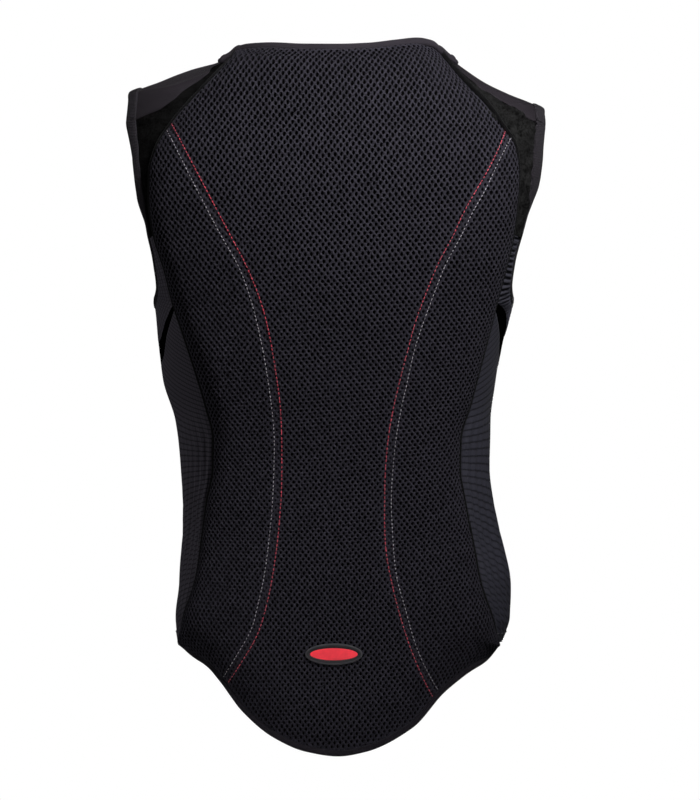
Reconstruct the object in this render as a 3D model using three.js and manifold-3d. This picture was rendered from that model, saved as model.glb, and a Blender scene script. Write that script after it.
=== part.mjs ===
// A sleeveless back protector vest, shaped as it is worn: a padded spacer-mesh back board with a
// rounded tail, black stretch yokes, ribbed underarm bands and side panels, smooth shoulders and
// fronts, edge bindings, a front zip and a moulded oval badge.
//
// Frame: millimetres, +Z up, +Y the way the wearer faces, +X the wearer's right. The origin lies on
// the wearer's shoulder line, midway between the shoulders, where the vest hangs.
//
// Every piece lies on one shape, the wearer's torso. A place on it is given by `down`, the share of
// BACK_LENGTH below the nape edge, with either `out`, the share of half BODY_WIDTH from the middle,
// or `turn`, the degrees round from the side, negative to the back and positive to the front.
import * as THREE from "three";
import { mergeVertices } from "three/addons/utils/BufferGeometryUtils.js";
import Module from "manifold-3d";

// Driving dimensions, in millimetres
const BACK_LENGTH = 682; // nape edge to the tip of the tail
const NAPE_RISE = 20.3; // nape edge above the shoulder line
const BODY_WIDTH = 320; // across the chest, just under the arms
const BODY_DEPTH = 224; // chest, back to front
const PAD_THICKNESS = 16; // foam board with its spacer mesh
const PAD_EDGE = 4; // the same at its sewn edge
const PAD_ROLL = 30; // width over which the board's edge rolls down
const KNIT_THICKNESS = 1.6; // ribbed side panels and underarm bands
const YOKE_THICKNESS = 1.5; // black stretch yokes and gussets
const CLOTH_THICKNESS = 1.5; // smooth shoulders and fronts
const FOLD_RISE = 5; // the highest that a fold in a side panel could stand
const SEAM_GAP = 0.35; // each edge stops this far short of its seam
const ARM_BINDING_WIDTH = 9;
const ARM_BINDING_THICKNESS = 3;
const NECK_BINDING_WIDTH = 5.5;
const NECK_BINDING_THICKNESS = 4.6;
const NECK_CORNER_CLEARANCE = 1.5; // between the ends of the neck bindings and what they meet
const TAIL_BINDING_WIDTH = 5;
const TAIL_BINDING_THICKNESS = 4.6;
const BINDING_ROUNDING = 0.3; // of a binding's thickness, at its edges
const ZIP_WIDTH = 24;
const ZIP_TAPE = 1.3; // thickness of the tape
const ZIP_TEETH_WIDTH = 6;
const ZIP_TEETH_RISE = 2.8; // top of the teeth above the wearer
const ZIP_SLIDER = { width: 9, length: 15, thickness: 4, below: 8 };
const ZIP_PULL = { width: 6, length: 30, thickness: 1.8 };
const BADGE = { width: 54, height: 20.5, thickness: 1.8, rimWidth: 3.6, rimRise: 0.8, left: 3.8 };
const BADGE_DOWN = 0.862;
const GLUE_LINE = 0.3; // between the badge and the board

// Sections of the wearer's torso: half-widths as shares of half BODY_WIDTH, depths as shares of half
// BODY_DEPTH, and the power of the section's rounded outline. The two sides hang a little unevenly.
const TORSO = [
  { down: 0.0, left: 0.6, right: 0.6, back: 0.52, front: 0.36, power: 2.2 },
  { down: 0.019, left: 0.635, right: 0.64, back: 0.57, front: 0.4, power: 2.2 },
  { down: 0.035, left: 0.71, right: 0.695, back: 0.625, front: 0.45, power: 2.25 },
  { down: 0.046, left: 0.87, right: 0.755, back: 0.67, front: 0.48, power: 2.3 },
  { down: 0.063, left: 1.06, right: 0.87, back: 0.73, front: 0.54, power: 2.35 },
  { down: 0.08, left: 1.235, right: 1.01, back: 0.78, front: 0.59, power: 2.4 },
  { down: 0.1, left: 1.29, right: 1.2, back: 0.83, front: 0.65, power: 2.45 },
  { down: 0.124, left: 1.32, right: 1.275, back: 0.88, front: 0.72, power: 2.5 },
  { down: 0.175, left: 1.325, right: 1.285, back: 0.97, front: 0.85, power: 2.6 },
  { down: 0.227, left: 1.295, right: 1.245, back: 1.01, front: 0.94, power: 2.6 },
  { down: 0.297, left: 1.19, right: 1.13, back: 1.01, front: 1.01, power: 2.6 },
  { down: 0.345, left: 1.12, right: 1.065, back: 0.98, front: 1.02, power: 2.55 },
  { down: 0.376, left: 1.082, right: 1.025, back: 0.955, front: 1.015, power: 2.5 },
  { down: 0.429, left: 1.06, right: 0.97, back: 0.9, front: 0.99, power: 2.5 },
  { down: 0.478, left: 1.033, right: 0.933, back: 0.85, front: 0.955, power: 2.4 },
  { down: 0.534, left: 0.96, right: 0.898, back: 0.8, front: 0.925, power: 2.35 },
  { down: 0.603, left: 0.926, right: 0.895, back: 0.77, front: 0.9, power: 2.3 },
  { down: 0.687, left: 0.905, right: 0.939, back: 0.79, front: 0.92, power: 2.3 },
  { down: 0.763, left: 0.926, right: 1.008, back: 0.85, front: 0.95, power: 2.35 },
  { down: 0.81, left: 0.956, right: 1.012, back: 0.89, front: 0.96, power: 2.4 },
  { down: 0.85, left: 0.94, right: 0.96, back: 0.925, front: 0.97, power: 2.4 },
  { down: 1.0, left: 0.9, right: 0.92, back: 1.05, front: 0.98, power: 2.4 },
];

// The back board's side edges, from the nape corners to the tail corners
const BOARD_EDGE = [
  { down: 0.02, left: 0.585, right: 0.59 },
  { down: 0.033, left: 0.625, right: 0.64 },
  { down: 0.058, left: 0.724, right: 0.745 },
  { down: 0.088, left: 0.85, right: 0.855 },
  { down: 0.119, left: 0.965, right: 0.95 },
  { down: 0.158, left: 1.067, right: 1.045 },
  { down: 0.19, left: 1.1, right: 1.058 },
  { down: 0.227, left: 1.1, right: 1.048 },
  { down: 0.272, left: 1.073, right: 1.021 },
  { down: 0.325, left: 1.004, right: 0.968 },
  { down: 0.368, left: 0.958, right: 0.919 },
  { down: 0.408, left: 0.904, right: 0.877 },
  { down: 0.478, left: 0.81, right: 0.8 },
  { down: 0.513, left: 0.766, right: 0.762 },
  { down: 0.56, left: 0.722, right: 0.708 },
  { down: 0.603, left: 0.724, right: 0.704 },
  { down: 0.645, left: 0.755, right: 0.731 },
  { down: 0.729, left: 0.799, right: 0.799 },
  { down: 0.77, left: 0.824, right: 0.827 },
  { down: 0.81, left: 0.865, right: 0.87 },
  { down: 0.848, left: 0.893, right: 0.912 },
];
const BOARD_TOP = 0.02;
const BOARD_FOOT = 0.848;

// The board's top edge at the nape and its bottom edge round the tail, by the share of its half-width
const NAPE_EDGE = [
  { across: -1.0, down: 0.02 },
  { across: -0.9, down: 0.0175 },
  { across: -0.7, down: 0.0165 },
  { across: -0.35, down: 0.0187 },
  { across: 0.0, down: 0.019 },
  { across: 0.3, down: 0.0175 },
  { across: 0.6, down: 0.0125 },
  { across: 0.8, down: 0.0095 },
  { across: 0.93, down: 0.0125 },
  { across: 1.0, down: 0.02 },
];
const TAIL_EDGE = [
  { across: -1.0, down: 0.848 },
  { across: -0.87, down: 0.866 },
  { across: -0.76, down: 0.892 },
  { across: -0.6, down: 0.936 },
  { across: -0.41, down: 0.969 },
  { across: -0.2, down: 0.988 },
  { across: 0.0, down: 0.994 },
  { across: 0.17, down: 0.988 },
  { across: 0.46, down: 0.956 },
  { across: 0.66, down: 0.908 },
  { across: 0.85, down: 0.875 },
  { across: 0.96, down: 0.857 },
  { across: 1.0, down: 0.848 },
];

// The seam of shoulder and yoke down the back, from the neck to the armhole, with the height of the
// board's edge across the yoke from it
const SHOULDER_SEAM = [
  { leftOut: 0.695, leftDown: 0.038, rightOut: 0.69, rightDown: 0.04, board: 0.02 },
  { leftOut: 0.773, leftDown: 0.055, rightOut: 0.77, rightDown: 0.058, board: 0.042 },
  { leftOut: 0.862, leftDown: 0.069, rightOut: 0.849, rightDown: 0.074, board: 0.062 },
  { leftOut: 0.94, leftDown: 0.083, rightOut: 0.93, rightDown: 0.086, board: 0.08 },
  { leftOut: 1.035, leftDown: 0.1, rightOut: 1.02, rightDown: 0.098, board: 0.098 },
  { leftOut: 1.125, leftDown: 0.109, rightOut: 1.1, rightDown: 0.112, board: 0.115 },
  { leftOut: 1.201, leftDown: 0.117, rightOut: 1.175, rightDown: 0.12, board: 0.132 },
];
// The shoulder's front seam, from the neck to the armhole
const FRONT_SHOULDER_SEAM = [
  { out: 0.665, down: 0.062 },
  { out: 0.75, down: 0.074 },
  { out: 0.84, down: 0.086 },
  { out: 0.92, down: 0.097 },
  { out: 1.0, down: 0.108 },
  { out: 1.08, down: 0.118 },
  { out: 1.15, down: 0.126 },
];

// The armhole's seam down the back, below the shoulder, with the board's edge across from it
const ARMHOLE_BACK = [
  { down: 0.158, left: 1.183, right: 1.162, board: 0.16 },
  { down: 0.195, left: 1.166, right: 1.147, board: 0.193 },
  { down: 0.227, left: 1.145, right: 1.127, board: 0.224 },
  { down: 0.255, left: 1.128, right: 1.1, board: 0.25 },
  { down: 0.28, left: 1.11, right: 1.072, board: 0.274 },
  { down: 0.303, left: 1.088, right: 1.045, board: 0.298 },
  { down: 0.325, left: 1.074, right: 1.028, board: 0.321 },
  { down: 0.346, left: 1.064, right: 1.018, board: 0.343 },
];
const YOKE_ROWS = 5; // rows of that table that the yoke covers; the ribbed band has the rest

// The armhole's seam from there under the arm and up the front
const ARMHOLE_FRONT = [
  { turn: -12, down: 0.363 },
  { turn: -5, down: 0.374 },
  { turn: 2, down: 0.377 },
  { turn: 9, down: 0.372 },
  { turn: 15, down: 0.36 },
  { turn: 19.5, down: 0.336 },
  { turn: 22, down: 0.305 },
  { turn: 22.5, down: 0.27 },
  { turn: 21.5, down: 0.232 },
  { turn: 20, down: 0.195 },
  { turn: 18, down: 0.158 },
];
const UNDERARM_ROWS = 4; // rows of that table that the ribbed band covers after the first

// The black gusset's upper and lower seams, by the share of the way from the board's edge to the front
const GUSSET = [
  { along: 0, leftUpper: 0.368, leftLower: 0.372, rightUpper: 0.368, rightLower: 0.372 },
  { along: 0.22, leftUpper: 0.397, leftLower: 0.412, rightUpper: 0.38, rightLower: 0.411 },
  { along: 0.4, leftUpper: 0.421, leftLower: 0.448, rightUpper: 0.397, rightLower: 0.441 },
  { along: 0.58, leftUpper: 0.429, leftLower: 0.459, rightUpper: 0.412, rightLower: 0.456 },
  { along: 0.8, leftUpper: 0.434, leftLower: 0.462, rightUpper: 0.424, rightLower: 0.46 },
  { along: 1, leftUpper: 0.438, leftLower: 0.462, rightUpper: 0.43, rightLower: 0.46 },
];

// The seam of side panel and front, and the hem
const FRONT_SEAM = [
  { down: 0.36, turn: 15 },
  { down: 0.46, turn: 16 },
  { down: 0.6, turn: 19 },
  { down: 0.84, turn: 22 },
];
const FRONT_HEM = 0.84;
const SIDE_HEM = 0.844; // where the hem meets the board

// The front neckline, from the shoulder to the zip
const NECKLINE = [
  { out: 0.63, down: 0.085 },
  { out: 0.545, down: 0.108 },
  { out: 0.4, down: 0.129 },
  { out: 0.23, down: 0.141 },
];
const NECKLINE_FOOT = 0.142;

// Upright folds in the side panels: where their middle lies on the way from the board's edge to the
// front seam, their half-width there, the heights that they span, and their rise as a share of
// FOLD_RISE
const FOLDS = [
  { side: "left", along: 0.2, halfWidth: 0.16, from: 0.56, to: 0.8, rise: -0.5 },
  { side: "left", along: 0.42, halfWidth: 0.17, from: 0.6, to: 0.83, rise: 0.6 },
  { side: "right", along: 0.22, halfWidth: 0.17, from: 0.58, to: 0.82, rise: -0.6 },
  { side: "right", along: 0.46, halfWidth: 0.18, from: 0.62, to: 0.83, rise: 0.6 },
];

// How finely the pieces are divided
const SIDE_ROWS = 13; // down the side panels
const ROUND_STEPS = 12; // round under the arm, from the board's edge to the front seam
const SHOULDER_STEPS = 8; // over the shoulder, from seam to seam
const YOKE_STEPS = 4; // across a yoke or an underarm band
const GUSSET_STEPS = 2;
const FRONT_SEAM_STEPS = 9;
const ZIP_STEPS = 18;
const BADGE_SIDES = 28;

const SIDES = [
  { name: "left", sign: -1 },
  { name: "right", sign: 1 },
];

const HALF_WIDTH = BODY_WIDTH / 2;
const HALF_DEPTH = BODY_DEPTH / 2;
const SIDE_ANGLE = Math.PI / 2; // from the middle of the back to the side

const lerp = (a, b, t) => a + (b - a) * t;
const steps = (count) => Array.from({ length: count + 1 }, (_, i) => i / count);

// A smooth curve through a table's column that never overshoots its rows
function curve(rows, keyColumn, column) {
  const xs = rows.map((row) => row[keyColumn]);
  const ys = rows.map((row) => row[column]);
  const last = xs.length - 1;
  const slopes = ys.slice(1).map((y, i) => (y - ys[i]) / (xs[i + 1] - xs[i]));
  const tangents = ys.map((_, i) => {
    if (i === 0) return slopes[0];
    if (i === last) return slopes[last - 1];
    if (slopes[i - 1] * slopes[i] <= 0) return 0;
    return (2 * slopes[i - 1] * slopes[i]) / (slopes[i - 1] + slopes[i]);
  });
  return (x) => {
    const clamped = Math.min(Math.max(x, xs[0]), xs[last]);
    let i = 0;
    while (i < last - 1 && clamped > xs[i + 1]) i++;
    const width = xs[i + 1] - xs[i];
    const t = (clamped - xs[i]) / width;
    const rise = ys[i + 1] - ys[i];
    const bendIn = tangents[i] * width - rise;
    const bendOut = rise - tangents[i + 1] * width;
    return ys[i] + rise * t + t * (1 - t) * (bendIn * (1 - t) + bendOut * t);
  };
}

const torso = {
  left: curve(TORSO, "down", "left"),
  right: curve(TORSO, "down", "right"),
  back: curve(TORSO, "down", "back"),
  front: curve(TORSO, "down", "front"),
  power: curve(TORSO, "down", "power"),
};
const boardEdgeOut = {
  left: curve(BOARD_EDGE, "down", "left"),
  right: curve(BOARD_EDGE, "down", "right"),
};
const napeEdge = curve(NAPE_EDGE, "across", "down");
const tailEdge = curve(TAIL_EDGE, "across", "down");
const frontSeamTurn = curve(FRONT_SEAM, "down", "turn");

const heightOf = (down) => NAPE_RISE - down * BACK_LENGTH;
const downOf = (z) => (NAPE_RISE - z) / BACK_LENGTH;
const angleOfTurn = (turn) => SIDE_ANGLE + THREE.MathUtils.degToRad(turn);

// The torso's half-width, half-depth and power at a height, on one side, to the back or front
function section(side, down, toFront) {
  return {
    width: torso[side.name](down) * HALF_WIDTH,
    depth: (toFront ? torso.front(down) : torso.back(down)) * HALF_DEPTH,
    power: torso.power(down),
  };
}

// Under 0 inside the torso, over 0 outside
function outsideness(side, x, y, z) {
  const s = section(side, downOf(z), y > 0);
  return Math.abs(x / s.width) ** s.power + Math.abs(y / s.depth) ** s.power - 1;
}

// The torso's outward direction at a point
function normalAt(side, p) {
  const h = 0.5; // half the span over which the slope is taken, in millimetres
  const at = (x, y, z) => outsideness(side, x, y, z);
  return new THREE.Vector3(
    at(p.x + h, p.y, p.z) - at(p.x - h, p.y, p.z),
    at(p.x, p.y + h, p.z) - at(p.x, p.y - h, p.z),
    at(p.x, p.y, p.z + h) - at(p.x, p.y, p.z - h),
  ).normalize();
}

// A place on the torso: its point, and the angle round from the middle of the back with the height
function placeAt(side, angle, down) {
  const s = section(side, down, angle > SIDE_ANGLE);
  const across = Math.abs(Math.sin(angle)) / s.width;
  const along = Math.abs(Math.cos(angle)) / s.depth;
  const radius = (across ** s.power + along ** s.power) ** (-1 / s.power);
  const x = side.sign * radius * Math.sin(angle);
  const y = -radius * Math.cos(angle);
  return { side, angle, down, point: new THREE.Vector3(x, y, heightOf(down)) };
}

// The angle from the middle of the back at which the torso is `out` wide
function angleAt(side, out, down, toFront) {
  const s = section(side, down, toFront);
  const share = Math.min((out * HALF_WIDTH) / s.width, 1);
  const y = s.depth * (1 - share ** s.power) ** (1 / s.power);
  const fromBack = Math.atan2(share * s.width, y);
  return toFront ? Math.PI - fromBack : fromBack;
}

const onBack = (side, out, down) => placeAt(side, angleAt(side, out, down, false), down);
const onFront = (side, out, down) => placeAt(side, angleAt(side, out, down, true), down);
const onBoardEdge = (side, down) => onBack(side, boardEdgeOut[side.name](down), down);
const onFrontSeam = (side, down) => placeAt(side, angleOfTurn(frontSeamTurn(down)), down);
const onZipEdge = (side, down) => onFront(side, ZIP_WIDTH / BODY_WIDTH, down);

// A place between two others, straight in angle and height
const blend = (a, b, t) => placeAt(a.side, lerp(a.angle, b.angle, t), lerp(a.down, b.down, t));

// A place under the arm, by its share of the way round from the board's edge to the front seam
const onSide = (side, along, down) =>
  placeAt(side, lerp(onBoardEdge(side, down).angle, onFrontSeam(side, down).angle, along), down);

// A place over the shoulder, where a ray from inside, in a plane of constant x, leaves the torso
function overShoulder(side, x, angle, centreZ) {
  const dy = -Math.cos(angle);
  const dz = Math.sin(angle);
  const halvings = 40;
  let inside = 0;
  let outside = BODY_DEPTH;
  for (let i = 0; i < halvings; i++) {
    const middle = (inside + outside) / 2;
    if (outsideness(side, x, middle * dy, centreZ + middle * dz) < 0) inside = middle;
    else outside = middle;
  }
  return { side, point: new THREE.Vector3(x, inside * dy, centreZ + inside * dz) };
}

// Samples of a smooth line through places, at row numbers that may lie between two places
function lineThrough(places) {
  const rows = places.map(({ angle, down }, row) => ({ row, angle, down }));
  const angle = curve(rows, "row", "angle");
  const down = curve(rows, "row", "down");
  return (row) => placeAt(places[0].side, angle(row), down(row));
}
const sample = (line, from, to, count) => steps(count).map((t) => line(lerp(from, to, t)));

// Rows of places drawn back from their seams all round, along the rows' own lines
function drawBack(places, gap) {
  const towards = (from, to) => from.clone().addScaledVector(to.clone().sub(from).normalize(), gap);
  const grid = places.map((row) => row.map((place) => place.point));
  const narrowed = grid.map((row) => {
    const last = row.length - 1;
    return row.map((p, i) => {
      if (i === 0) return towards(p, row[1]);
      if (i === last) return towards(p, row[last - 1]);
      return p;
    });
  });
  const end = narrowed.length - 1;
  return narrowed.map((row, j) =>
    row.map((p, i) => {
      if (j === 0) return towards(p, narrowed[1][i]);
      if (j === end) return towards(p, narrowed[end - 1][i]);
      return p;
    }),
  );
}

// A closed body from its points and triangles, turned the right way out
function bodyGeometry(points, triangles) {
  const geometry = new THREE.BufferGeometry();
  const positions = new Float32Array(points.flatMap((p) => [p.x, p.y, p.z]));
  geometry.setAttribute("position", new THREE.BufferAttribute(positions, 3));
  const volume = triangles.reduce(
    (sum, [a, b, c]) => sum + points[a].dot(points[b].clone().cross(points[c])),
    0,
  );
  const facing = volume < 0 ? triangles.map(([a, b, c]) => [a, c, b]) : triangles;
  geometry.setIndex(facing.flat());
  geometry.computeVertexNormals();
  return geometry;
}

// Cloth or padding between an inner and an outer grid of the same size, joined round their edge
function layerGeometry(inner, outer) {
  const rows = inner.length;
  const columns = inner[0].length;
  const skin = rows * columns;
  const index = (j, i) => j * columns + i;
  const triangles = [];
  const quad = (a, b, c, d) => triangles.push([a, b, c], [a, c, d]);
  for (let j = 0; j < rows - 1; j++) {
    for (let i = 0; i < columns - 1; i++) {
      const [a, b, c, d] = [index(j, i), index(j, i + 1), index(j + 1, i + 1), index(j + 1, i)];
      quad(a, b, c, d);
      quad(skin + d, skin + c, skin + b, skin + a);
    }
  }
  const rim = [];
  for (let i = 0; i < columns - 1; i++) rim.push(index(0, i));
  for (let j = 0; j < rows - 1; j++) rim.push(index(j, columns - 1));
  for (let i = columns - 1; i > 0; i--) rim.push(index(rows - 1, i));
  for (let j = rows - 1; j > 0; j--) rim.push(index(j, 0));
  rim.forEach((a, k) => {
    const b = rim[(k + 1) % rim.length];
    quad(b, a, skin + a, skin + b);
  });
  return bodyGeometry([...inner.flat(), ...outer.flat()], triangles);
}

// Cloth of even thickness on one side of the torso; `rise` lifts it off in folds
function clothGeometry(side, places, thickness, rise = () => 0) {
  const drawn = drawBack(places, SEAM_GAP);
  const lifted = (extra) =>
    drawn.map((row, j) =>
      row.map((p, i) => p.clone().addScaledVector(normalAt(side, p), rise(places[j][i]) + extra)),
    );
  return layerGeometry(lifted(0), lifted(thickness));
}

// A profile swept through frames, each with its origin, its aside and its outward direction
function sweepGeometry(frames, profile, closed) {
  const sides = profile.length;
  const points = frames.flatMap(({ origin, aside, outward }) =>
    profile.map(([u, v]) => origin.clone().addScaledVector(aside, u).addScaledVector(outward, v)),
  );
  const triangles = [];
  const links = closed ? frames.length : frames.length - 1;
  for (let j = 0; j < links; j++) {
    const here = j * sides;
    const next = ((j + 1) % frames.length) * sides;
    for (let i = 0; i < sides; i++) {
      const k = (i + 1) % sides;
      triangles.push([here + i, here + k, next + k], [here + i, next + k, next + i]);
    }
  }
  if (!closed) {
    const end = (frames.length - 1) * sides;
    const contour = profile.map(([u, v]) => new THREE.Vector2(u, v));
    for (const [a, b, c] of THREE.ShapeUtils.triangulateShape(contour, [])) {
      triangles.push([c, b, a], [end + a, end + b, end + c]);
    }
  }
  return bodyGeometry(points, triangles);
}

// A rounded band swept along a line of places, on the side of the line that looks to `target`
function bindingGeometry(places, width, thickness, target, closed = false) {
  const round = thickness * BINDING_ROUNDING;
  const profile = [
    [SEAM_GAP, 0],
    [width - round, 0],
    [width, round],
    [width, thickness - round],
    [width - round, thickness],
    [SEAM_GAP + round, thickness],
    [SEAM_GAP, thickness - round],
  ];
  const count = places.length;
  const frames = places.map(({ side, point }, i) => {
    const before = places[closed ? (i + count - 1) % count : Math.max(i - 1, 0)].point;
    const after = places[closed ? (i + 1) % count : Math.min(i + 1, count - 1)].point;
    const outward = normalAt(side, point);
    const aside = after.clone().sub(before).cross(outward).normalize();
    if (aside.dot(target.clone().sub(point)) < 0) aside.negate();
    return { origin: point, aside, outward };
  });
  return sweepGeometry(frames, profile, closed);
}

const finish = (color, roughness, metalness = 0) => ({ color, roughness, metalness });
const FINISHES = {
  spacerMesh: finish(0x2b292f, 0.85),
  stretchBlack: finish(0x121213, 0.9),
  ribbedKnit: finish(0x2f2d34, 0.85),
  smoothCloth: finish(0x35313a, 0.75),
  binding: finish(0x37333b, 0.8),
  zip: finish(0x1c1b1e, 0.5),
  rubber: finish(0xa82c35, 0.45),
};

// The back board's columns lie closer together where its edges roll down
const ROLLED_COLUMNS = [1, 0.985, 0.95, 0.88, 0.78, 0.65, 0.5, 0.34, 0.17];
const boardColumns = [...ROLLED_COLUMNS.map((u) => -u), 0, ...ROLLED_COLUMNS.slice().reverse()];
const boardSide = (across) => (across < 0 ? SIDES[0] : SIDES[1]);

const boardRows = [
  ...SHOULDER_SEAM.map((row) => row.board),
  ...ARMHOLE_BACK.map((row) => row.board),
  GUSSET[0].leftUpper,
  ...steps(SIDE_ROWS).map((t) => lerp(GUSSET[0].leftLower, SIDE_HEM, t)),
  BOARD_FOOT,
];

function onBoard(across, edgeDown) {
  const side = boardSide(across);
  const share = (edgeDown - BOARD_TOP) / (BOARD_FOOT - BOARD_TOP);
  const down = lerp(napeEdge(across), tailEdge(across), share);
  return onBack(side, Math.abs(across) * boardEdgeOut[side.name](edgeDown), down);
}

// The board's padding rises from its sewn edge to its full height over the rolled border
function padHeight(grid, j, i) {
  const p = grid[j][i];
  const row = grid[j];
  const edges = [row[0], row[row.length - 1], grid[0][i], grid[grid.length - 1][i]];
  const t = Math.min(Math.min(...edges.map((edge) => p.distanceTo(edge))) / PAD_ROLL, 1);
  return lerp(PAD_EDGE, PAD_THICKNESS, Math.sqrt(1 - (1 - t) ** 2));
}

function boardGeometry() {
  const places = boardRows.map((down) => boardColumns.map((across) => onBoard(across, down)));
  const inner = drawBack(places, SEAM_GAP);
  const outer = inner.map((row, j) =>
    row.map((p, i) =>
      p.clone().addScaledVector(normalAt(boardSide(boardColumns[i]), p), padHeight(inner, j, i)),
    ),
  );
  return layerGeometry(inner, outer);
}

// The oval badge, seated on the board: closed rings of its outer face from the middle to the rim
const BADGE_RINGS = [
  { share: 0.5, inset: 0, rise: 0 },
  { share: 1, inset: BADGE.rimWidth + BADGE.rimRise, rise: 0 },
  { share: 1, inset: BADGE.rimWidth, rise: BADGE.rimRise },
  { share: 1, inset: BADGE.rimRise, rise: BADGE.rimRise },
  { share: 1, inset: 0, rise: 0 },
];

// The badge's two faces follow the `seat` that it is laid on
function badgeGeometry(seat) {
  const ray = new THREE.Raycaster();
  const forward = new THREE.Vector3(0, 1, 0);
  const centreZ = heightOf(BADGE_DOWN);
  const lifted = (x, z, lift) => {
    ray.set(new THREE.Vector3(x, -BODY_DEPTH, z), forward);
    const y = ray.intersectObject(seat)[0].point.y - GLUE_LINE - lift;
    return new THREE.Vector3(x, y, z);
  };
  const ringPoints = ({ share, inset }, lift) =>
    Array.from({ length: BADGE_SIDES }, (_, i) => {
      const angle = (i / BADGE_SIDES) * 2 * Math.PI;
      const x = share * (BADGE.width / 2 - inset) * Math.cos(angle) - BADGE.left;
      const z = share * (BADGE.height / 2 - inset) * Math.sin(angle) + centreZ;
      return lifted(x, z, lift);
    });
  const outer = BADGE_RINGS.map((ring) => ringPoints(ring, BADGE.thickness + ring.rise));
  const inner = BADGE_RINGS.map((ring) => ringPoints(ring, 0)).reverse();
  const rings = [...outer, ...inner];
  const points = rings.flat();
  const triangles = [];
  for (let j = 0; j < rings.length - 1; j++) {
    for (let i = 0; i < BADGE_SIDES; i++) {
      const k = (i + 1) % BADGE_SIDES;
      const [a, b] = [j * BADGE_SIDES + i, j * BADGE_SIDES + k];
      triangles.push([a, b, b + BADGE_SIDES], [a, b + BADGE_SIDES, a + BADGE_SIDES]);
    }
  }
  const poles = [BADGE.thickness, 0].map((lift) => points.push(lifted(-BADGE.left, centreZ, lift)) - 1);
  const lastRing = (rings.length - 1) * BADGE_SIDES;
  for (let i = 0; i < BADGE_SIDES; i++) {
    const k = (i + 1) % BADGE_SIDES;
    triangles.push([poles[0], k, i], [poles[1], lastRing + i, lastRing + k]);
  }
  return bodyGeometry(points, triangles);
}

// The front zip: tape with raised teeth down the middle of the front, a slider and its pull
async function zipGeometry() {
  const wasm = await Module();
  wasm.setup();
  const toSolid = (geometry) => {
    const bare = geometry.clone();
    bare.deleteAttribute("normal");
    bare.deleteAttribute("uv");
    const merged = mergeVertices(bare);
    const vertProperties = new Float32Array(merged.attributes.position.array);
    const triVerts = new Uint32Array(merged.index.array);
    return new wasm.Manifold(new wasm.Mesh({ numProp: 3, vertProperties, triVerts }));
  };
  const frameAt = (down) => {
    const { point } = placeAt(SIDES[1], Math.PI, down);
    return { origin: point, aside: new THREE.Vector3(1, 0, 0), outward: normalAt(SIDES[1], point) };
  };
  const tape = ZIP_WIDTH / 2 - SEAM_GAP;
  const teeth = ZIP_TEETH_WIDTH / 2;
  const profile = [
    [-tape, 0],
    [tape, 0],
    [tape, ZIP_TAPE],
    [teeth, ZIP_TAPE],
    [teeth, ZIP_TEETH_RISE],
    [-teeth, ZIP_TEETH_RISE],
    [-teeth, ZIP_TAPE],
    [-tape, ZIP_TAPE],
  ];
  const top = NECKLINE_FOOT - NECK_BINDING_WIDTH / BACK_LENGTH;
  const line = steps(ZIP_STEPS).map((t) => frameAt(lerp(top, FRONT_HEM, t)));
  const strip = sweepGeometry(line, profile, false);

  // A block whose long side runs down the front, from a place and a height above the wearer
  const block = (width, length, thickness, fromDown, lift) => {
    const middle = frameAt(fromDown + length / 2 / BACK_LENGTH);
    const geometry = new THREE.BoxGeometry(width, length, thickness);
    const along = middle.outward.clone().cross(middle.aside);
    const turn = new THREE.Matrix4().makeBasis(middle.aside, along, middle.outward);
    turn.setPosition(middle.origin.clone().addScaledVector(middle.outward, lift + thickness / 2));
    return geometry.applyMatrix4(turn);
  };
  const sliderTop = top + ZIP_SLIDER.below / BACK_LENGTH;
  const pullTop = sliderTop + ZIP_SLIDER.length / 2 / BACK_LENGTH;
  const sliderLift = ZIP_TEETH_RISE - ZIP_TAPE;
  const pullLift = sliderLift + ZIP_SLIDER.thickness - ZIP_PULL.thickness / 2;
  const slider = block(ZIP_SLIDER.width, ZIP_SLIDER.length, ZIP_SLIDER.thickness, sliderTop, sliderLift);
  const pull = block(ZIP_PULL.width, ZIP_PULL.length, ZIP_PULL.thickness, pullTop, pullLift);
  const joined = toSolid(strip).add(toSolid(slider)).add(toSolid(pull)).getMesh();
  const geometry = new THREE.BufferGeometry();
  geometry.setAttribute("position", new THREE.BufferAttribute(joined.vertProperties, joined.numProp));
  geometry.setIndex(new THREE.BufferAttribute(joined.triVerts, 1));
  geometry.computeVertexNormals();
  return geometry;
}

// One side's seams, each shared by the pieces that meet there. The armhole's seam is in three
// stretches: down the back, under the arm, and up the front.
function seamsOf(side) {
  const { name } = side;
  const shoulderBack = SHOULDER_SEAM.map((row) => onBack(side, row[`${name}Out`], row[`${name}Down`]));
  const shoulderFront = FRONT_SHOULDER_SEAM.map((row) => onFront(side, row.out, row.down));
  const armhole = lineThrough([
    shoulderBack[shoulderBack.length - 1],
    ...ARMHOLE_BACK.map((row) => onBack(side, row[name], row.down)),
    ...ARMHOLE_FRONT.map((row) => placeAt(side, angleOfTurn(row.turn), row.down)),
    shoulderFront[shoulderFront.length - 1],
  ]);
  const underarmStart = ARMHOLE_BACK.length + 1;
  const underarmEnd = underarmStart + UNDERARM_ROWS;
  const armholeEnd = ARMHOLE_BACK.length + ARMHOLE_FRONT.length + 1;
  return {
    shoulderBack,
    shoulderFront,
    backEdge: sample(armhole, 0, underarmStart, underarmStart),
    roundEdge: sample(armhole, underarmStart, underarmEnd, ROUND_STEPS),
    frontEdge: sample(armhole, underarmEnd, armholeEnd, (armholeEnd - underarmEnd) * 2),
    gussetUpper: curve(GUSSET, "along", `${name}Upper`),
    gussetLower: curve(GUSSET, "along", `${name}Lower`),
    neckline: NECKLINE.map((row) => onFront(side, row.out, row.down)),
  };
}

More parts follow.
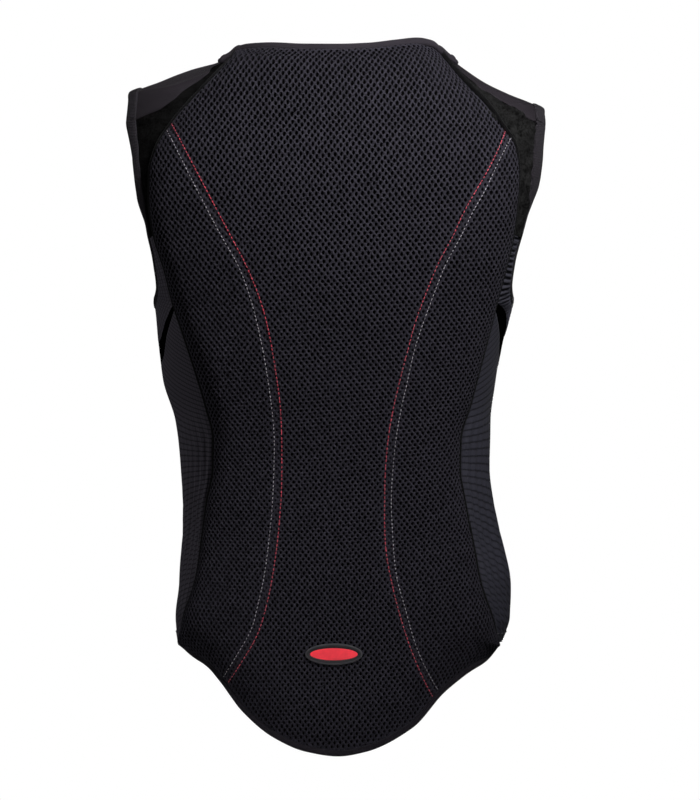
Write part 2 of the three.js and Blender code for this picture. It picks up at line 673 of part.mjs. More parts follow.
// Slices from the shoulder's back seam, over the shoulder line, to its front seam
function shoulderPlaces(side, seams) {
  return seams.shoulderBack.map((from, i) => {
    const to = seams.shoulderFront[i];
    const centreZ = Math.min(from.point.z, to.point.z) - HALF_DEPTH / 4;
    const fromAngle = Math.atan2(from.point.z - centreZ, -from.point.y);
    const toAngle = Math.atan2(to.point.z - centreZ, -to.point.y);
    const between = steps(SHOULDER_STEPS).slice(1, -1).map((t) => {
      const x = lerp(from.point.x, to.point.x, t);
      return overShoulder(side, x, lerp(fromAngle, toAngle, t), centreZ);
    });
    return [from, ...between, to];
  });
}

// Between the board's edge and the shoulder seam, then the armhole
function yokePlaces(side, seams) {
  const edge = [...seams.shoulderBack, ...seams.backEdge.slice(1, YOKE_ROWS + 1)];
  const boardDowns = [...SHOULDER_SEAM, ...ARMHOLE_BACK.slice(0, YOKE_ROWS)].map((row) => row.board);
  return edge.map((place, i) =>
    steps(YOKE_STEPS).map((t) => blend(onBoardEdge(side, boardDowns[i]), place, t)),
  );
}

// From the yoke's foot down the board's edge, then round above the gusset to the front seam
function underarmPlaces(side, seams) {
  const boardDowns = ARMHOLE_BACK.slice(YOKE_ROWS - 1).map((row) => row.board);
  const foot = [
    ...boardDowns.map((down) => onBoardEdge(side, down)),
    ...steps(ROUND_STEPS).map((along) => onSide(side, along, seams.gussetUpper(along))),
  ];
  const edge = [...seams.backEdge.slice(YOKE_ROWS, -1), ...seams.roundEdge];
  return foot.map((place, i) => steps(YOKE_STEPS).map((t) => blend(place, edge[i], t)));
}

// A black sliver that opens from the board's edge towards the front
function gussetPlaces(side, seams) {
  const downAt = (along, t) => lerp(seams.gussetUpper(along), seams.gussetLower(along), t);
  return steps(ROUND_STEPS).map((along) =>
    steps(GUSSET_STEPS).map((t) => onSide(side, along, downAt(along, t))),
  );
}

// Below the gusset to the hem
function sidePanelPlaces(side, seams) {
  const hem = (along) => lerp(SIDE_HEM, FRONT_HEM, along);
  const downAt = (along, t) => lerp(seams.gussetLower(along), hem(along), t);
  return steps(SIDE_ROWS).map((t) =>
    steps(ROUND_STEPS).map((along) => ({ ...onSide(side, along, downAt(along, t)), along })),
  );
}

// How far the folds lift a place of the side panel
function foldRise(side, { along, down }) {
  const bump = (x, from, to) => {
    const t = (x - from) / (to - from);
    return t > 0 && t < 1 ? Math.sin(Math.PI * t) ** 2 : 0;
  };
  return FOLDS.filter((fold) => fold.side === side.name).reduce((sum, fold) => {
    const across = bump(along, fold.along - fold.halfWidth, fold.along + fold.halfWidth);
    return sum + fold.rise * FOLD_RISE * across * bump(down, fold.from, fold.to);
  }, 0);
}

// From the neckline and the shoulder's front seam down to the hem, and from the zip to the side
function frontPlaces(side, seams) {
  const neckline = [...seams.neckline].reverse();
  const top = [onZipEdge(side, NECKLINE_FOOT), ...neckline, ...seams.shoulderFront];
  const { frontEdge } = seams;
  const outer = [
    ...[...frontEdge].reverse(),
    ...steps(FRONT_SEAM_STEPS)
      .slice(1)
      .map((t) => onFrontSeam(side, lerp(frontEdge[0].down, FRONT_HEM, t))),
  ];
  const outerAngle = curve(outer, "down", "angle");
  const topDown = outer[0].down;
  return outer.map((edge) => {
    const share = (edge.down - topDown) / (FRONT_HEM - topDown);
    return top.map((start, i) => {
      if (i === top.length - 1) return edge;
      const down = lerp(start.down, FRONT_HEM, share);
      const zipAngle = onZipEdge(side, start.down).angle;
      const across = (start.angle - zipAngle) / (outerAngle(start.down) - zipAngle);
      return placeAt(side, lerp(onZipEdge(side, down).angle, outerAngle(down), across), down);
    });
  });
}

// A closed loop round the armhole, over the shoulder's outer slice
function armholeBindingGeometry(seams, shoulder) {
  const loop = [
    ...seams.backEdge,
    ...seams.roundEdge.slice(1),
    ...seams.frontEdge.slice(1),
    ...shoulder[shoulder.length - 1].slice(1, -1).reverse(),
  ];
  const middle = loop
    .reduce((sum, place) => sum.add(place.point), new THREE.Vector3())
    .divideScalar(loop.length);
  return bindingGeometry(loop, ARM_BINDING_WIDTH, ARM_BINDING_THICKNESS, middle, true);
}

// From just inside the nape corner over the shoulder and down the front neckline to the zip
function neckBindingGeometry(side, seams, shoulder) {
  const zipSide = onFront(side, (ZIP_WIDTH + 4 * SEAM_GAP) / BODY_WIDTH, NECKLINE_FOOT);
  const [seamEnd, next] = shoulder[0].map((place) => place.point);
  const startShare = (NECK_BINDING_WIDTH + NECK_CORNER_CLEARANCE) / seamEnd.distanceTo(next);
  const start = { side, point: seamEnd.clone().lerp(next, startShare) };
  const edge = [start, ...shoulder[0].slice(1), ...seams.neckline, zipSide];
  const middle = new THREE.Vector3(0, 0, 0);
  return bindingGeometry(edge, NECK_BINDING_WIDTH, NECK_BINDING_THICKNESS, middle);
}

// Along the board's top edge, and past its corners towards the shoulders
function napeBindingGeometry(shoulderCorners) {
  const top = boardColumns.map((across) => onBoard(across, BOARD_TOP));
  const pastCorner = (corner, shoulderCorner) => {
    const reach = corner.point.distanceTo(shoulderCorner.point);
    return blend(corner, shoulderCorner, 1 - (2 * NECK_BINDING_WIDTH) / reach);
  };
  const line = [
    pastCorner(top[0], shoulderCorners.left),
    ...top,
    pastCorner(top[top.length - 1], shoulderCorners.right),
  ];
  const above = new THREE.Vector3(0, 0, BACK_LENGTH);
  return bindingGeometry(line, NECK_BINDING_WIDTH, NECK_BINDING_THICKNESS, above);
}

// Along the board's bottom edge from corner to corner
function tailBindingGeometry() {
  const line = boardColumns.map((across) => onBoard(across, BOARD_FOOT));
  const below = new THREE.Vector3(0, 0, -2 * BACK_LENGTH);
  return bindingGeometry(line, TAIL_BINDING_WIDTH, TAIL_BINDING_THICKNESS, below);
}

const vest = new THREE.Group();
function add(name, geometry, look) {
  const mesh = new THREE.Mesh(geometry, new THREE.MeshStandardMaterial(look));
  mesh.name = name;
  vest.add(mesh);
}

const board = boardGeometry();
add("back_board", board, FINISHES.spacerMesh);
add("badge", badgeGeometry(new THREE.Mesh(board)), FINISHES.rubber);
add("zip", await zipGeometry(), FINISHES.zip);

const shoulderCorners = {};
for (const side of SIDES) {
  const seams = seamsOf(side);
  const shoulder = shoulderPlaces(side, seams);
  const addCloth = (piece, places, thickness, look, rise) =>
    add(`${piece}_${side.name}`, clothGeometry(side, places, thickness, rise), look);
  const { smoothCloth, stretchBlack, ribbedKnit, binding } = FINISHES;
  addCloth("shoulder", shoulder, CLOTH_THICKNESS, smoothCloth);
  addCloth("front", frontPlaces(side, seams), CLOTH_THICKNESS, smoothCloth);
  addCloth("yoke", yokePlaces(side, seams), YOKE_THICKNESS, stretchBlack);
  addCloth("gusset", gussetPlaces(side, seams), YOKE_THICKNESS, stretchBlack);
  addCloth("underarm_band", underarmPlaces(side, seams), KNIT_THICKNESS, ribbedKnit);
  const folds = (place) => foldRise(side, place);
  addCloth("side_panel", sidePanelPlaces(side, seams), KNIT_THICKNESS, ribbedKnit, folds);
  add(`armhole_binding_${side.name}`, armholeBindingGeometry(seams, shoulder), binding);
  add(`neck_binding_${side.name}`, neckBindingGeometry(side, seams, shoulder), binding);
  shoulderCorners[side.name] = seams.shoulderBack[0];
}
add("neck_binding_back", napeBindingGeometry(shoulderCorners), FINISHES.binding);
add("tail_binding", tailBindingGeometry(), FINISHES.binding);

export default vest;
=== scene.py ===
"""Looks of a sleeveless back protector vest, seen from behind: a padded board under spacer mesh with
stitched seams, black stretch yokes, ribbed sides, bound edges, an oval badge and a plain zipped front.

Lengths are in millimetres until a mesh is made. A place on the torso is an angle round from the middle
of the back, negative to the wearer's left, and `down`, the share of BACK_LENGTH below the nape edge.
"""

import math

import bmesh
import bpy
import numpy as np
from mathutils import Matrix, Vector


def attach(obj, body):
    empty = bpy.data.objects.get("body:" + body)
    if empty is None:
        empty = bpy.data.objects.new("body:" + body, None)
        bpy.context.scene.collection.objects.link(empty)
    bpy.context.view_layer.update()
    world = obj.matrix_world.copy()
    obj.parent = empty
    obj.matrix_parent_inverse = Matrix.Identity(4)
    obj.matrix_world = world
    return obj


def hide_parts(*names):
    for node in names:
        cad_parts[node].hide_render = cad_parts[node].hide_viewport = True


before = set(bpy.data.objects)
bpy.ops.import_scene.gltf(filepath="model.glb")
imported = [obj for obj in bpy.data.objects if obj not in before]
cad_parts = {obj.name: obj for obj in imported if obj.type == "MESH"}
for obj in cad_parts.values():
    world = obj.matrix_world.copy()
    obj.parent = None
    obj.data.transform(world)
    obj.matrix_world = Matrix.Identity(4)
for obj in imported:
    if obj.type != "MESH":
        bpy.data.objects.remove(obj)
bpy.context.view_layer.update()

MM = 0.001
BODY = "root"

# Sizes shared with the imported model
BACK_LENGTH = 682.0
NAPE_RISE = 20.3
HALF_WIDTH = 160.0
HALF_DEPTH = 112.0
PAD_THICKNESS = 16.0
PAD_EDGE = 4.0
PAD_ROLL = 30.0
KNIT_THICKNESS = 1.6
YOKE_THICKNESS = 1.5
CLOTH_THICKNESS = 1.5
FOLD_RISE = 5.0
ARM_BINDING = (9.0, 3.0)
NECK_BINDING = (5.5, 4.6)
TAIL_BINDING = (5.0, 4.6)
ZIP_WIDTH = 24.0
ZIP_TAPE = 1.3
ZIP_TEETH_RISE = 2.8
BADGE_DOWN = 0.862
BADGE_LEFT = 3.8
BADGE_HALF = (27.0, 10.25)

# The photograph's frame: millimetres a pixel, and the pixel of the part's origin
PIXEL = 0.95
ORIGIN_PX = (338.0, 57.97)
IMAGE_SIZE = (700, 800)

# Torso sections: down, left and right half-widths, back and front depths, power of the outline
TORSO = np.array([
    [0.0, 0.6, 0.6, 0.52, 0.36, 2.2],
    [0.019, 0.635, 0.64, 0.57, 0.4, 2.2],
    [0.035, 0.71, 0.695, 0.625, 0.45, 2.25],
    [0.046, 0.87, 0.755, 0.67, 0.48, 2.3],
    [0.063, 1.06, 0.87, 0.73, 0.54, 2.35],
    [0.08, 1.235, 1.01, 0.78, 0.59, 2.4],
    [0.1, 1.29, 1.2, 0.83, 0.65, 2.45],
    [0.124, 1.32, 1.275, 0.88, 0.72, 2.5],
    [0.175, 1.325, 1.285, 0.97, 0.85, 2.6],
    [0.227, 1.295, 1.245, 1.01, 0.94, 2.6],
    [0.297, 1.19, 1.13, 1.01, 1.01, 2.6],
    [0.345, 1.12, 1.065, 0.98, 1.02, 2.55],
    [0.376, 1.082, 1.025, 0.955, 1.015, 2.5],
    [0.429, 1.06, 0.97, 0.9, 0.99, 2.5],
    [0.478, 1.033, 0.933, 0.85, 0.955, 2.4],
    [0.534, 0.96, 0.898, 0.8, 0.925, 2.35],
    [0.603, 0.926, 0.895, 0.77, 0.9, 2.3],
    [0.687, 0.905, 0.939, 0.79, 0.92, 2.3],
    [0.763, 0.926, 1.008, 0.85, 0.95, 2.35],
    [0.81, 0.956, 1.012, 0.89, 0.96, 2.4],
    [0.85, 0.94, 0.96, 0.925, 0.97, 2.4],
    [1.0, 0.9, 0.92, 1.05, 0.98, 2.4],
])

# The board's side edges: down, left, right
BOARD_EDGE = np.array([
    [0.02, 0.585, 0.59],
    [0.033, 0.625, 0.64],
    [0.058, 0.724, 0.745],
    [0.088, 0.85, 0.855],
    [0.119, 0.965, 0.95],
    [0.158, 1.067, 1.045],
    [0.19, 1.1, 1.058],
    [0.227, 1.1, 1.048],
    [0.272, 1.073, 1.021],
    [0.325, 1.004, 0.968],
    [0.368, 0.958, 0.919],
    [0.408, 0.904, 0.877],
    [0.478, 0.81, 0.8],
    [0.513, 0.766, 0.762],
    [0.56, 0.722, 0.708],
    [0.603, 0.724, 0.704],
    [0.645, 0.755, 0.731],
    [0.729, 0.799, 0.799],
    [0.77, 0.824, 0.827],
    [0.81, 0.865, 0.87],
    [0.848, 0.893, 0.912],
])
BOARD_TOP = 0.02
BOARD_FOOT = 0.848

# The board's top and bottom edges: share across, down
NAPE_EDGE = np.array([
    [-1.0, 0.02], [-0.9, 0.0175], [-0.7, 0.0165], [-0.35, 0.0187], [0.0, 0.019],
    [0.3, 0.0175], [0.6, 0.0125], [0.8, 0.0095], [0.93, 0.0125], [1.0, 0.02],
])
TAIL_EDGE = np.array([
    [-1.0, 0.848], [-0.87, 0.866], [-0.76, 0.892], [-0.6, 0.936], [-0.41, 0.969], [-0.2, 0.988],
    [0.0, 0.994], [0.17, 0.988], [0.46, 0.956], [0.66, 0.908], [0.85, 0.875], [0.96, 0.857],
    [1.0, 0.848],
])

# Back shoulder seam: left out and down, right out and down, the board's height across from it
SHOULDER_SEAM = np.array([
    [0.695, 0.038, 0.69, 0.04, 0.02],
    [0.773, 0.055, 0.77, 0.058, 0.042],
    [0.862, 0.069, 0.849, 0.074, 0.062],
    [0.94, 0.083, 0.93, 0.086, 0.08],
    [1.035, 0.1, 1.02, 0.098, 0.098],
    [1.125, 0.109, 1.1, 0.112, 0.115],
    [1.201, 0.117, 1.175, 0.12, 0.132],
])
FRONT_SHOULDER_SEAM = np.array([
    [0.665, 0.062], [0.75, 0.074], [0.84, 0.086], [0.92, 0.097],
    [1.0, 0.108], [1.08, 0.118], [1.15, 0.126],
])

# The armhole's seam down the back: down, left, right, the board's height across from it
ARMHOLE_BACK = np.array([
    [0.158, 1.183, 1.162, 0.16],
    [0.195, 1.166, 1.147, 0.193],
    [0.227, 1.145, 1.127, 0.224],
    [0.255, 1.128, 1.1, 0.25],
    [0.28, 1.11, 1.072, 0.274],
    [0.303, 1.088, 1.045, 0.298],
    [0.325, 1.074, 1.028, 0.321],
    [0.346, 1.064, 1.018, 0.343],
])
YOKE_ROWS = 5
# Under the arm and up the front: degrees round from the side, down
ARMHOLE_FRONT = np.array([
    [-12, 0.363], [-5, 0.374], [2, 0.377], [9, 0.372], [15, 0.36], [19.5, 0.336],
    [22, 0.305], [22.5, 0.27], [21.5, 0.232], [20, 0.195], [18, 0.158],
])
UNDERARM_ROWS = 4

# The gusset's seams: share of the way round, left upper and lower, right upper and lower
GUSSET = np.array([
    [0, 0.368, 0.372, 0.368, 0.372],
    [0.22, 0.397, 0.412, 0.38, 0.411],
    [0.4, 0.421, 0.448, 0.397, 0.441],
    [0.58, 0.429, 0.459, 0.412, 0.456],
    [0.8, 0.434, 0.462, 0.424, 0.46],
    [1, 0.438, 0.462, 0.43, 0.46],
])
FRONT_SEAM = np.array([[0.36, 15], [0.46, 16], [0.6, 19], [0.84, 22]])
FRONT_HEM = 0.84
SIDE_HEM = 0.844
NECKLINE = np.array([[0.63, 0.085], [0.545, 0.108], [0.4, 0.129], [0.23, 0.141]])
NECKLINE_FOOT = 0.142

# Upright folds of the side panels: side, middle, half-width, from, to, rise
FOLDS = [
    (-1, 0.2, 0.16, 0.56, 0.8, -0.5),
    (-1, 0.42, 0.17, 0.6, 0.83, 0.6),
    (1, 0.22, 0.17, 0.58, 0.82, -0.6),
    (1, 0.46, 0.18, 0.62, 0.83, 0.6),
]

# Seam lines of the board as pixels of the photograph
RED_LEFT = [
    (172, 124), (233, 240), (249, 271), (266, 318), (276, 371), (281, 412), (282, 446), (282, 479),
    (279, 529), (273, 575), (265.6, 610), (258, 634), (252, 645), (239.6, 665), (226.6, 685),
]
GREY_LEFT = [
    (166, 128), (222, 237), (241, 271), (257.5, 323), (267.5, 374), (272.5, 412), (274.6, 439),
    (273.8, 479), (272.5, 506), (268.6, 546), (264, 579), (258, 605), (251.8, 630), (247, 638),
    (222, 679.6),
]
RED_RIGHT = [
    (506, 128.7), (501, 143), (487.6, 171), (472.7, 196), (461, 217), (451, 240), (439.5, 260),
    (426, 293), (415.5, 321), (408, 349), (398, 387.5), (391.4, 417), (387, 447), (384.8, 479),
    (384.4, 523), (386, 552), (391.7, 582.5), (399.3, 613), (407, 638), (416.5, 663), (426, 684),
    (433.4, 698),
]
GREY_RIGHT = [
    (510.8, 137.8), (497.5, 164), (484, 192.5), (472.7, 211), (459.4, 239), (446, 263),
    (432.9, 296), (423, 323), (414.6, 349), (406.3, 386), (400.5, 411), (396.4, 434),
    (393, 465.5), (391, 498), (392.6, 536.5), (395.5, 571), (406, 611), (414.6, 642),
    (426, 668.6), (439.5, 692.5),
]

SIDES = ((-1, "left"), (1, "right"))


def hermite(keys, values, at):
    """A smooth curve through rows that never overshoots them; values may have further axes."""
    keys, values, at = (np.asarray(a, float) for a in (keys, values, at))
    extra = (1,) * (values.ndim - 1)
    widths = np.diff(keys)
    slopes = np.diff(values, axis=0) / widths.reshape((-1,) + extra)
    tangents = np.zeros_like(values)
    tangents[0], tangents[-1] = slopes[0], slopes[-1]
    before, after = slopes[:-1], slopes[1:]
    same = before * after > 0
    tangents[1:-1] = np.where(same, 2 * before * after / np.where(same, before + after, 1), 0)
    x = np.clip(at.ravel(), keys[0], keys[-1])
    i = np.clip(np.searchsorted(keys, x) - 1, 0, len(keys) - 2)
    width = widths[i].reshape((-1,) + extra)
    t = ((x - keys[i]) / widths[i]).reshape((-1,) + extra)
    rise = values[i + 1] - values[i]
    bend_in = tangents[i] * width - rise
    bend_out = rise - tangents[i + 1] * width
    out = values[i] + rise * t + t * (1 - t) * (bend_in * (1 - t) + bend_out * t)
    return out.reshape(at.shape + values.shape[1:])


def lerp(a, b, t):
    return a + (b - a) * t


def smooth(x, low, high):
    t = np.clip((x - low) / (high - low), 0, 1)
    return t * t * (3 - 2 * t)


def unit(v):
    return v / np.maximum(np.linalg.norm(v, axis=-1, keepdims=True), 1e-12)


def height(down):
    return NAPE_RISE - down * BACK_LENGTH


def down_of(z):
    return (NAPE_RISE - z) / BACK_LENGTH


def sections(sign, down, to_front):
    """Half-width, half-depth and power of the torso at a height."""
    left, right, back, front, power = np.moveaxis(hermite(TORSO[:, 0], TORSO[:, 1:], down), -1, 0)
    width = np.where(sign < 0, left, right) * HALF_WIDTH
    depth = np.where(to_front, front, back) * HALF_DEPTH
    return width, depth, power


def place(angle, down):
    """Points of the torso at signed angles from the middle of the back."""
    angle, down = np.broadcast_arrays(np.asarray(angle, float), np.asarray(down, float))
    size = np.abs(angle)
    width, depth, power = sections(angle, down, size > math.pi / 2)
    across = np.abs(np.sin(size)) / width
    along = np.abs(np.cos(size)) / depth
    radius = (across**power + along**power) ** (-1 / power)
    return np.stack([radius * np.sin(angle), -radius * np.cos(size), height(down)], -1)


def outsideness(p):
    width, depth, power = sections(p[..., 0], down_of(p[..., 2]), p[..., 1] > 0)
    return np.abs(p[..., 0] / width) ** power + np.abs(p[..., 1] / depth) ** power - 1


def normals_at(p):
    """The torso's outward directions, each from a slope over a millimetre."""
    half = 0.5
    steps = np.eye(3) * half
    slopes = [outsideness(p + step) - outsideness(p - step) for step in steps]
    return unit(np.stack(slopes, -1))


def angle_at(sign, out, down, to_front=False):
    """The angle from the back's middle, without its sign, where the torso is `out` wide."""
    width, depth, power = sections(sign, down, to_front)
    share = np.minimum(out * HALF_WIDTH / width, 1)
    y = depth * (1 - share**power) ** (1 / power)
    from_back = np.arctan2(share * width, y)
    return np.where(to_front, math.pi - from_back, from_back)


def turn_angle(turn):
    return math.pi / 2 + np.radians(turn)


def board_edge_angle(sign, down):
    out = hermite(BOARD_EDGE[:, 0], BOARD_EDGE[:, 1 if sign < 0 else 2], down)
    return angle_at(sign, out, down)


def front_seam_angle(down):
    return turn_angle(hermite(FRONT_SEAM[:, 0], FRONT_SEAM[:, 1], down))


def zip_angle(sign, down):
    return angle_at(sign, ZIP_WIDTH / (2 * HALF_WIDTH), down, True)


def hump(x, middle, half):
    t = np.clip((x - middle) / half, -1, 1)
    return np.cos(t * math.pi / 2) ** 2


# How far, as a share of HALF_WIDTH, the board is drawn in beside the right shoulder
RIGHT_DRAWN_IN = 0.022
# How far its lower corners reach out over the side panels
LEFT_CORNER = 0.036
RIGHT_CORNER = 0.032


def on_board(across, edge_down):
    """Signed angle and down of a share across the board and a height of its side edges."""
    across, edge_down = np.broadcast_arrays(np.asarray(across, float), np.asarray(edge_down, float))
    share = (edge_down - BOARD_TOP) / (BOARD_FOOT - BOARD_TOP)
    top = hermite(NAPE_EDGE[:, 0], NAPE_EDGE[:, 1], across)
    foot = hermite(TAIL_EDGE[:, 0], TAIL_EDGE[:, 1], across)
    down = lerp(top, foot, share)
    edges = hermite(BOARD_EDGE[:, 0], BOARD_EDGE[:, 1:], edge_down)
    drawn_in = RIGHT_DRAWN_IN * hump(edge_down, 0.062, 0.045)
    corner = smooth(edge_down, 0.73, BOARD_FOOT) * smooth(np.abs(across), 0.8, 0.95)
    left, right = edges[..., 0] + LEFT_CORNER * corner, edges[..., 1] - drawn_in + RIGHT_CORNER * corner
    out = np.abs(across) * np.where(across < 0, left, right)
    return np.sign(across) * angle_at(across, out, down), down


# Materials --------------------------------------------------------------------------------------


class Nodes:
    """A material's node tree, built by short calls."""

    def __init__(self, name, colour, roughness, **constants):
        self.material = bpy.data.materials.new(name)
        self.material.use_nodes = True
        self.tree = self.material.node_tree
        self.shader = self.tree.nodes["Principled BSDF"]
        self.shader.inputs["Base Color"].default_value = (*colour, 1)
        self.shader.inputs["Roughness"].default_value = roughness
        for socket, value in constants.items():
            self.shader.inputs[socket.replace("_", " ")].default_value = value
        self.material.diffuse_color = (*colour, 1)

    def link(self, source, target):
        self.tree.links.new(source, target)

    def node(self, kind, **inputs):
        made = self.tree.nodes.new(kind)
        for key, value in inputs.items():
            socket = made.inputs[int(key[1:])] if key[0] == "i" and key[1:].isdigit() else made.inputs[key]
            if isinstance(value, bpy.types.NodeSocket):
                self.link(value, socket)
            else:
                socket.default_value = value
        return made

    def math(self, operation, a, b=0.0, c=0.0):
        made = self.node("ShaderNodeMath", i0=a, i1=b, i2=c)
        made.operation = operation
        return made.outputs[0]

    def weave(self):
        """The cloth's own coordinates in millimetres, as x and y sockets and the vector."""
        made = self.tree.nodes.new("ShaderNodeAttribute")
        made.attribute_name = "weave"
        split = self.node("ShaderNodeSeparateXYZ", Vector=made.outputs["Vector"])
        return split.outputs[0], split.outputs[1], made.outputs["Vector"]

    def place(self):
        return self.tree.nodes.new("ShaderNodeTexCoord").outputs["Object"]

    def noise(self, vector, scale, detail=2.0, roughness=0.5):
        made = self.node("ShaderNodeTexNoise", Vector=vector, Scale=scale, Detail=detail, Roughness=roughness)
        return made.outputs[0]

    def ramp(self, value, low, high, from_min=0.0, from_max=1.0):
        made = self.node("ShaderNodeMapRange", Value=value)
        made.inputs["From Min"].default_value = from_min
        made.inputs["From Max"].default_value = from_max
        made.inputs["To Min"].default_value = low
        made.inputs["To Max"].default_value = high
        return made.outputs[0]

    def tint(self, factor, dark, light):
        """Base colour between two colours."""
        made = self.tree.nodes.new("ShaderNodeMix")
        made.data_type = "RGBA"
        self.link(factor, made.inputs["Factor"])
        made.inputs["A"].default_value = (*dark, 1)
        made.inputs["B"].default_value = (*light, 1)
        self.link(made.outputs["Result"], self.shader.inputs["Base Color"])
        return made.outputs["Result"]

    def rough(self, value):
        self.link(value, self.shader.inputs["Roughness"])

    def bump(self, value, distance, strength=1.0):
        made = self.node("ShaderNodeBump", Height=value)
        made.inputs["Distance"].default_value = distance
        made.inputs["Strength"].default_value = strength
        self.link(made.outputs[0], self.shader.inputs["Normal"])


def mixed(colour, factor):
    return tuple(c * factor for c in colour)


def yarn_material(name, base):
    """Knitted net of the spacer mesh: charcoal yarn with a fine twist."""
    n = Nodes(name, base, 0.72, Sheen_Weight=0.01, Sheen_Roughness=0.5, Specular_IOR_Level=0.06)
    vector = n.place()
    twist = n.noise(vector, 900, 2, 0.6)
    patches = n.noise(vector, 60, 3, 0.6)
    both = n.math("ADD", n.math("MULTIPLY", twist, 0.9), n.math("MULTIPLY", patches, 0.15))
    n.tint(n.ramp(both, 0, 1, 0.36, 0.7), mixed(base, 0.45), mixed(base, 1.66))
    n.rough(n.ramp(patches, 0.62, 0.82))
    n.bump(twist, 0.0005)
    return n.material


def core_material():
    n = Nodes("mesh_depth", (0.002, 0.0018, 0.0022), 0.9, Specular_IOR_Level=0.0)
    fuzz = n.noise(n.place(), 700, 2)
    n.tint(fuzz, (0.0008, 0.0008, 0.0008), (0.0034, 0.0031, 0.0038))
    n.bump(fuzz, 0.0005)
    return n.material


def inner_mesh_material(pitch, period):
    """The wearer's side of the spacer mesh, with its small staggered holes."""
    base = (0.0162, 0.0150, 0.0206)
    n = Nodes("spacer_mesh_lining", base, 0.78, Sheen_Weight=0.01, Specular_IOR_Level=0.06)
    x, y, _ = n.weave()

    def holes(shift):
        u = n.math("MULTIPLY", n.math("SUBTRACT", n.math("FRACT", n.math("ADD", n.math("DIVIDE", x, pitch), shift)), 0.5), pitch)
        v = n.math("MULTIPLY", n.math("SUBTRACT", n.math("FRACT", n.math("ADD", n.math("DIVIDE", y, period), shift)), 0.5), period)
        v = n.math("MULTIPLY", v, 0.75)
        return n.math("SQRT", n.math("ADD", n.math("MULTIPLY", u, u), n.math("MULTIPLY", v, v)))

    away = n.math("MINIMUM", holes(0.0), holes(0.5))
    net = n.ramp(away, 0, 1, 0.8, 1.5)
    n.tint(net, (0.002, 0.002, 0.0025), mixed(base, 1.15))
    n.bump(net, 0.0012)
    return n.material


def black_stretch_material(name, deep, pale):
    """Matt black stretch cloth with a faint mottled pile."""
    n = Nodes(name, (deep, deep, deep), 0.86, Specular_IOR_Level=0.0)
    vector = n.place()
    pile = n.noise(vector, 480, 3, 0.7)
    mottle = n.noise(vector, 120, 3, 0.65)
    both = n.math("ADD", n.math("MULTIPLY", pile, 0.55), n.math("MULTIPLY", mottle, 0.55))
    n.tint(n.ramp(both, 0, 1, 0.42, 0.7), (deep, deep, deep), (pale, pale, pale))
    n.rough(n.ramp(mottle, 0.8, 0.92))
    n.bump(pile, 0.0006)
    return n.material


def ribbed_material(name, base, pitch, wale, check, depth):
    """Ribbed knit: rounded ribs across the cloth with rows of small loops."""
    n = Nodes(name, base, 0.7, Sheen_Weight=0.015, Sheen_Roughness=0.45, Specular_IOR_Level=0.1)
    x, y, vector = n.weave()
    wobble = n.noise(n.place(), 45, 2)
    course = n.math("ADD", n.math("DIVIDE", y, pitch), n.math("MULTIPLY", wobble, 0.25))
    rib = n.math("ABSOLUTE", n.math("SINE", n.math("MULTIPLY", course, math.pi)))
    loop = n.math("ABSOLUTE", n.math("SINE", n.math("MULTIPLY", n.math("DIVIDE", x, wale), math.pi)))
    row = n.math("POWER", n.math("ABSOLUTE", n.math("COSINE", n.math("MULTIPLY", course, math.pi))), 6.0)
    dots = n.math("MULTIPLY", row, loop)
    grain = n.noise(n.place(), 800, 2)
    flat_rib = n.math("MINIMUM", n.math("MULTIPLY", rib, 1.8), 1.0)
    flat_loop = n.math("MINIMUM", n.math("MULTIPLY", loop, 1.6), 1.0)
    block = n.math("MULTIPLY", flat_rib, n.math("ADD", n.math("MULTIPLY", flat_loop, check), 1 - check))
    lit = n.math("ADD", n.math("MULTIPLY", block, depth), n.math("MULTIPLY", grain, 0.9 - depth))
    lit = n.math("SUBTRACT", lit, n.math("MULTIPLY", dots, 0.35))
    n.tint(n.ramp(lit, 0, 1, 0.1, 0.8), mixed(base, 0.5), mixed(base, 1.35))
    n.bump(n.math("ADD", block, n.math("MULTIPLY", grain, 0.4)), 0.0003)
    return n.material


def smooth_cloth_material(name, base, pitch=0.9):
    """Fine smooth stretch cloth with a faint diagonal grain."""
    n = Nodes(name, base, 0.66, Sheen_Weight=0.015, Sheen_Roughness=0.4, Specular_IOR_Level=0.1)
    x, y, vector = n.weave()
    u = n.math("SINE", n.math("MULTIPLY", n.math("ADD", x, y), math.pi / pitch))
    v = n.math("SINE", n.math("MULTIPLY", n.math("SUBTRACT", x, y), math.pi / pitch))
    thread = n.math("MULTIPLY", u, v)
    cloud = n.noise(n.place(), 30, 3)
    grain = n.noise(n.place(), 900, 2)
    lit = n.math("ADD", n.math("MULTIPLY", cloud, 0.6), n.math("MULTIPLY", grain, 0.4))
    n.tint(n.ramp(lit, 0, 1, 0.3, 0.7), mixed(base, 0.8), mixed(base, 1.2))
    n.rough(n.ramp(cloud, 0.6, 0.74))
    n.bump(n.math("ADD", n.math("MULTIPLY", thread, 0.5), grain), 0.00025)
    return n.material


def binding_material(name, base, along=1.6):
    """Folded knit tape with short slanting loops."""
    n = Nodes(name, base, 0.74, Sheen_Weight=0.015, Specular_IOR_Level=0.08)
    x, y, vector = n.weave()
    u = n.math("SINE", n.math("MULTIPLY", n.math("ADD", x, n.math("MULTIPLY", y, 0.6)), 2 * math.pi / along))
    v = n.math("SINE", n.math("MULTIPLY", y, 2 * math.pi / along))
    loop = n.math("MULTIPLY", u, v)
    grain = n.noise(n.place(), 700, 3, 0.7)
    lit = n.math("ADD", n.math("MULTIPLY", loop, 0.25), grain)
    n.tint(n.ramp(lit, 0, 1, 0.25, 0.85), mixed(base, 0.6), mixed(base, 1.35))
    n.bump(n.math("ADD", n.math("MULTIPLY", loop, 0.5), grain), 0.0006)
    return n.material


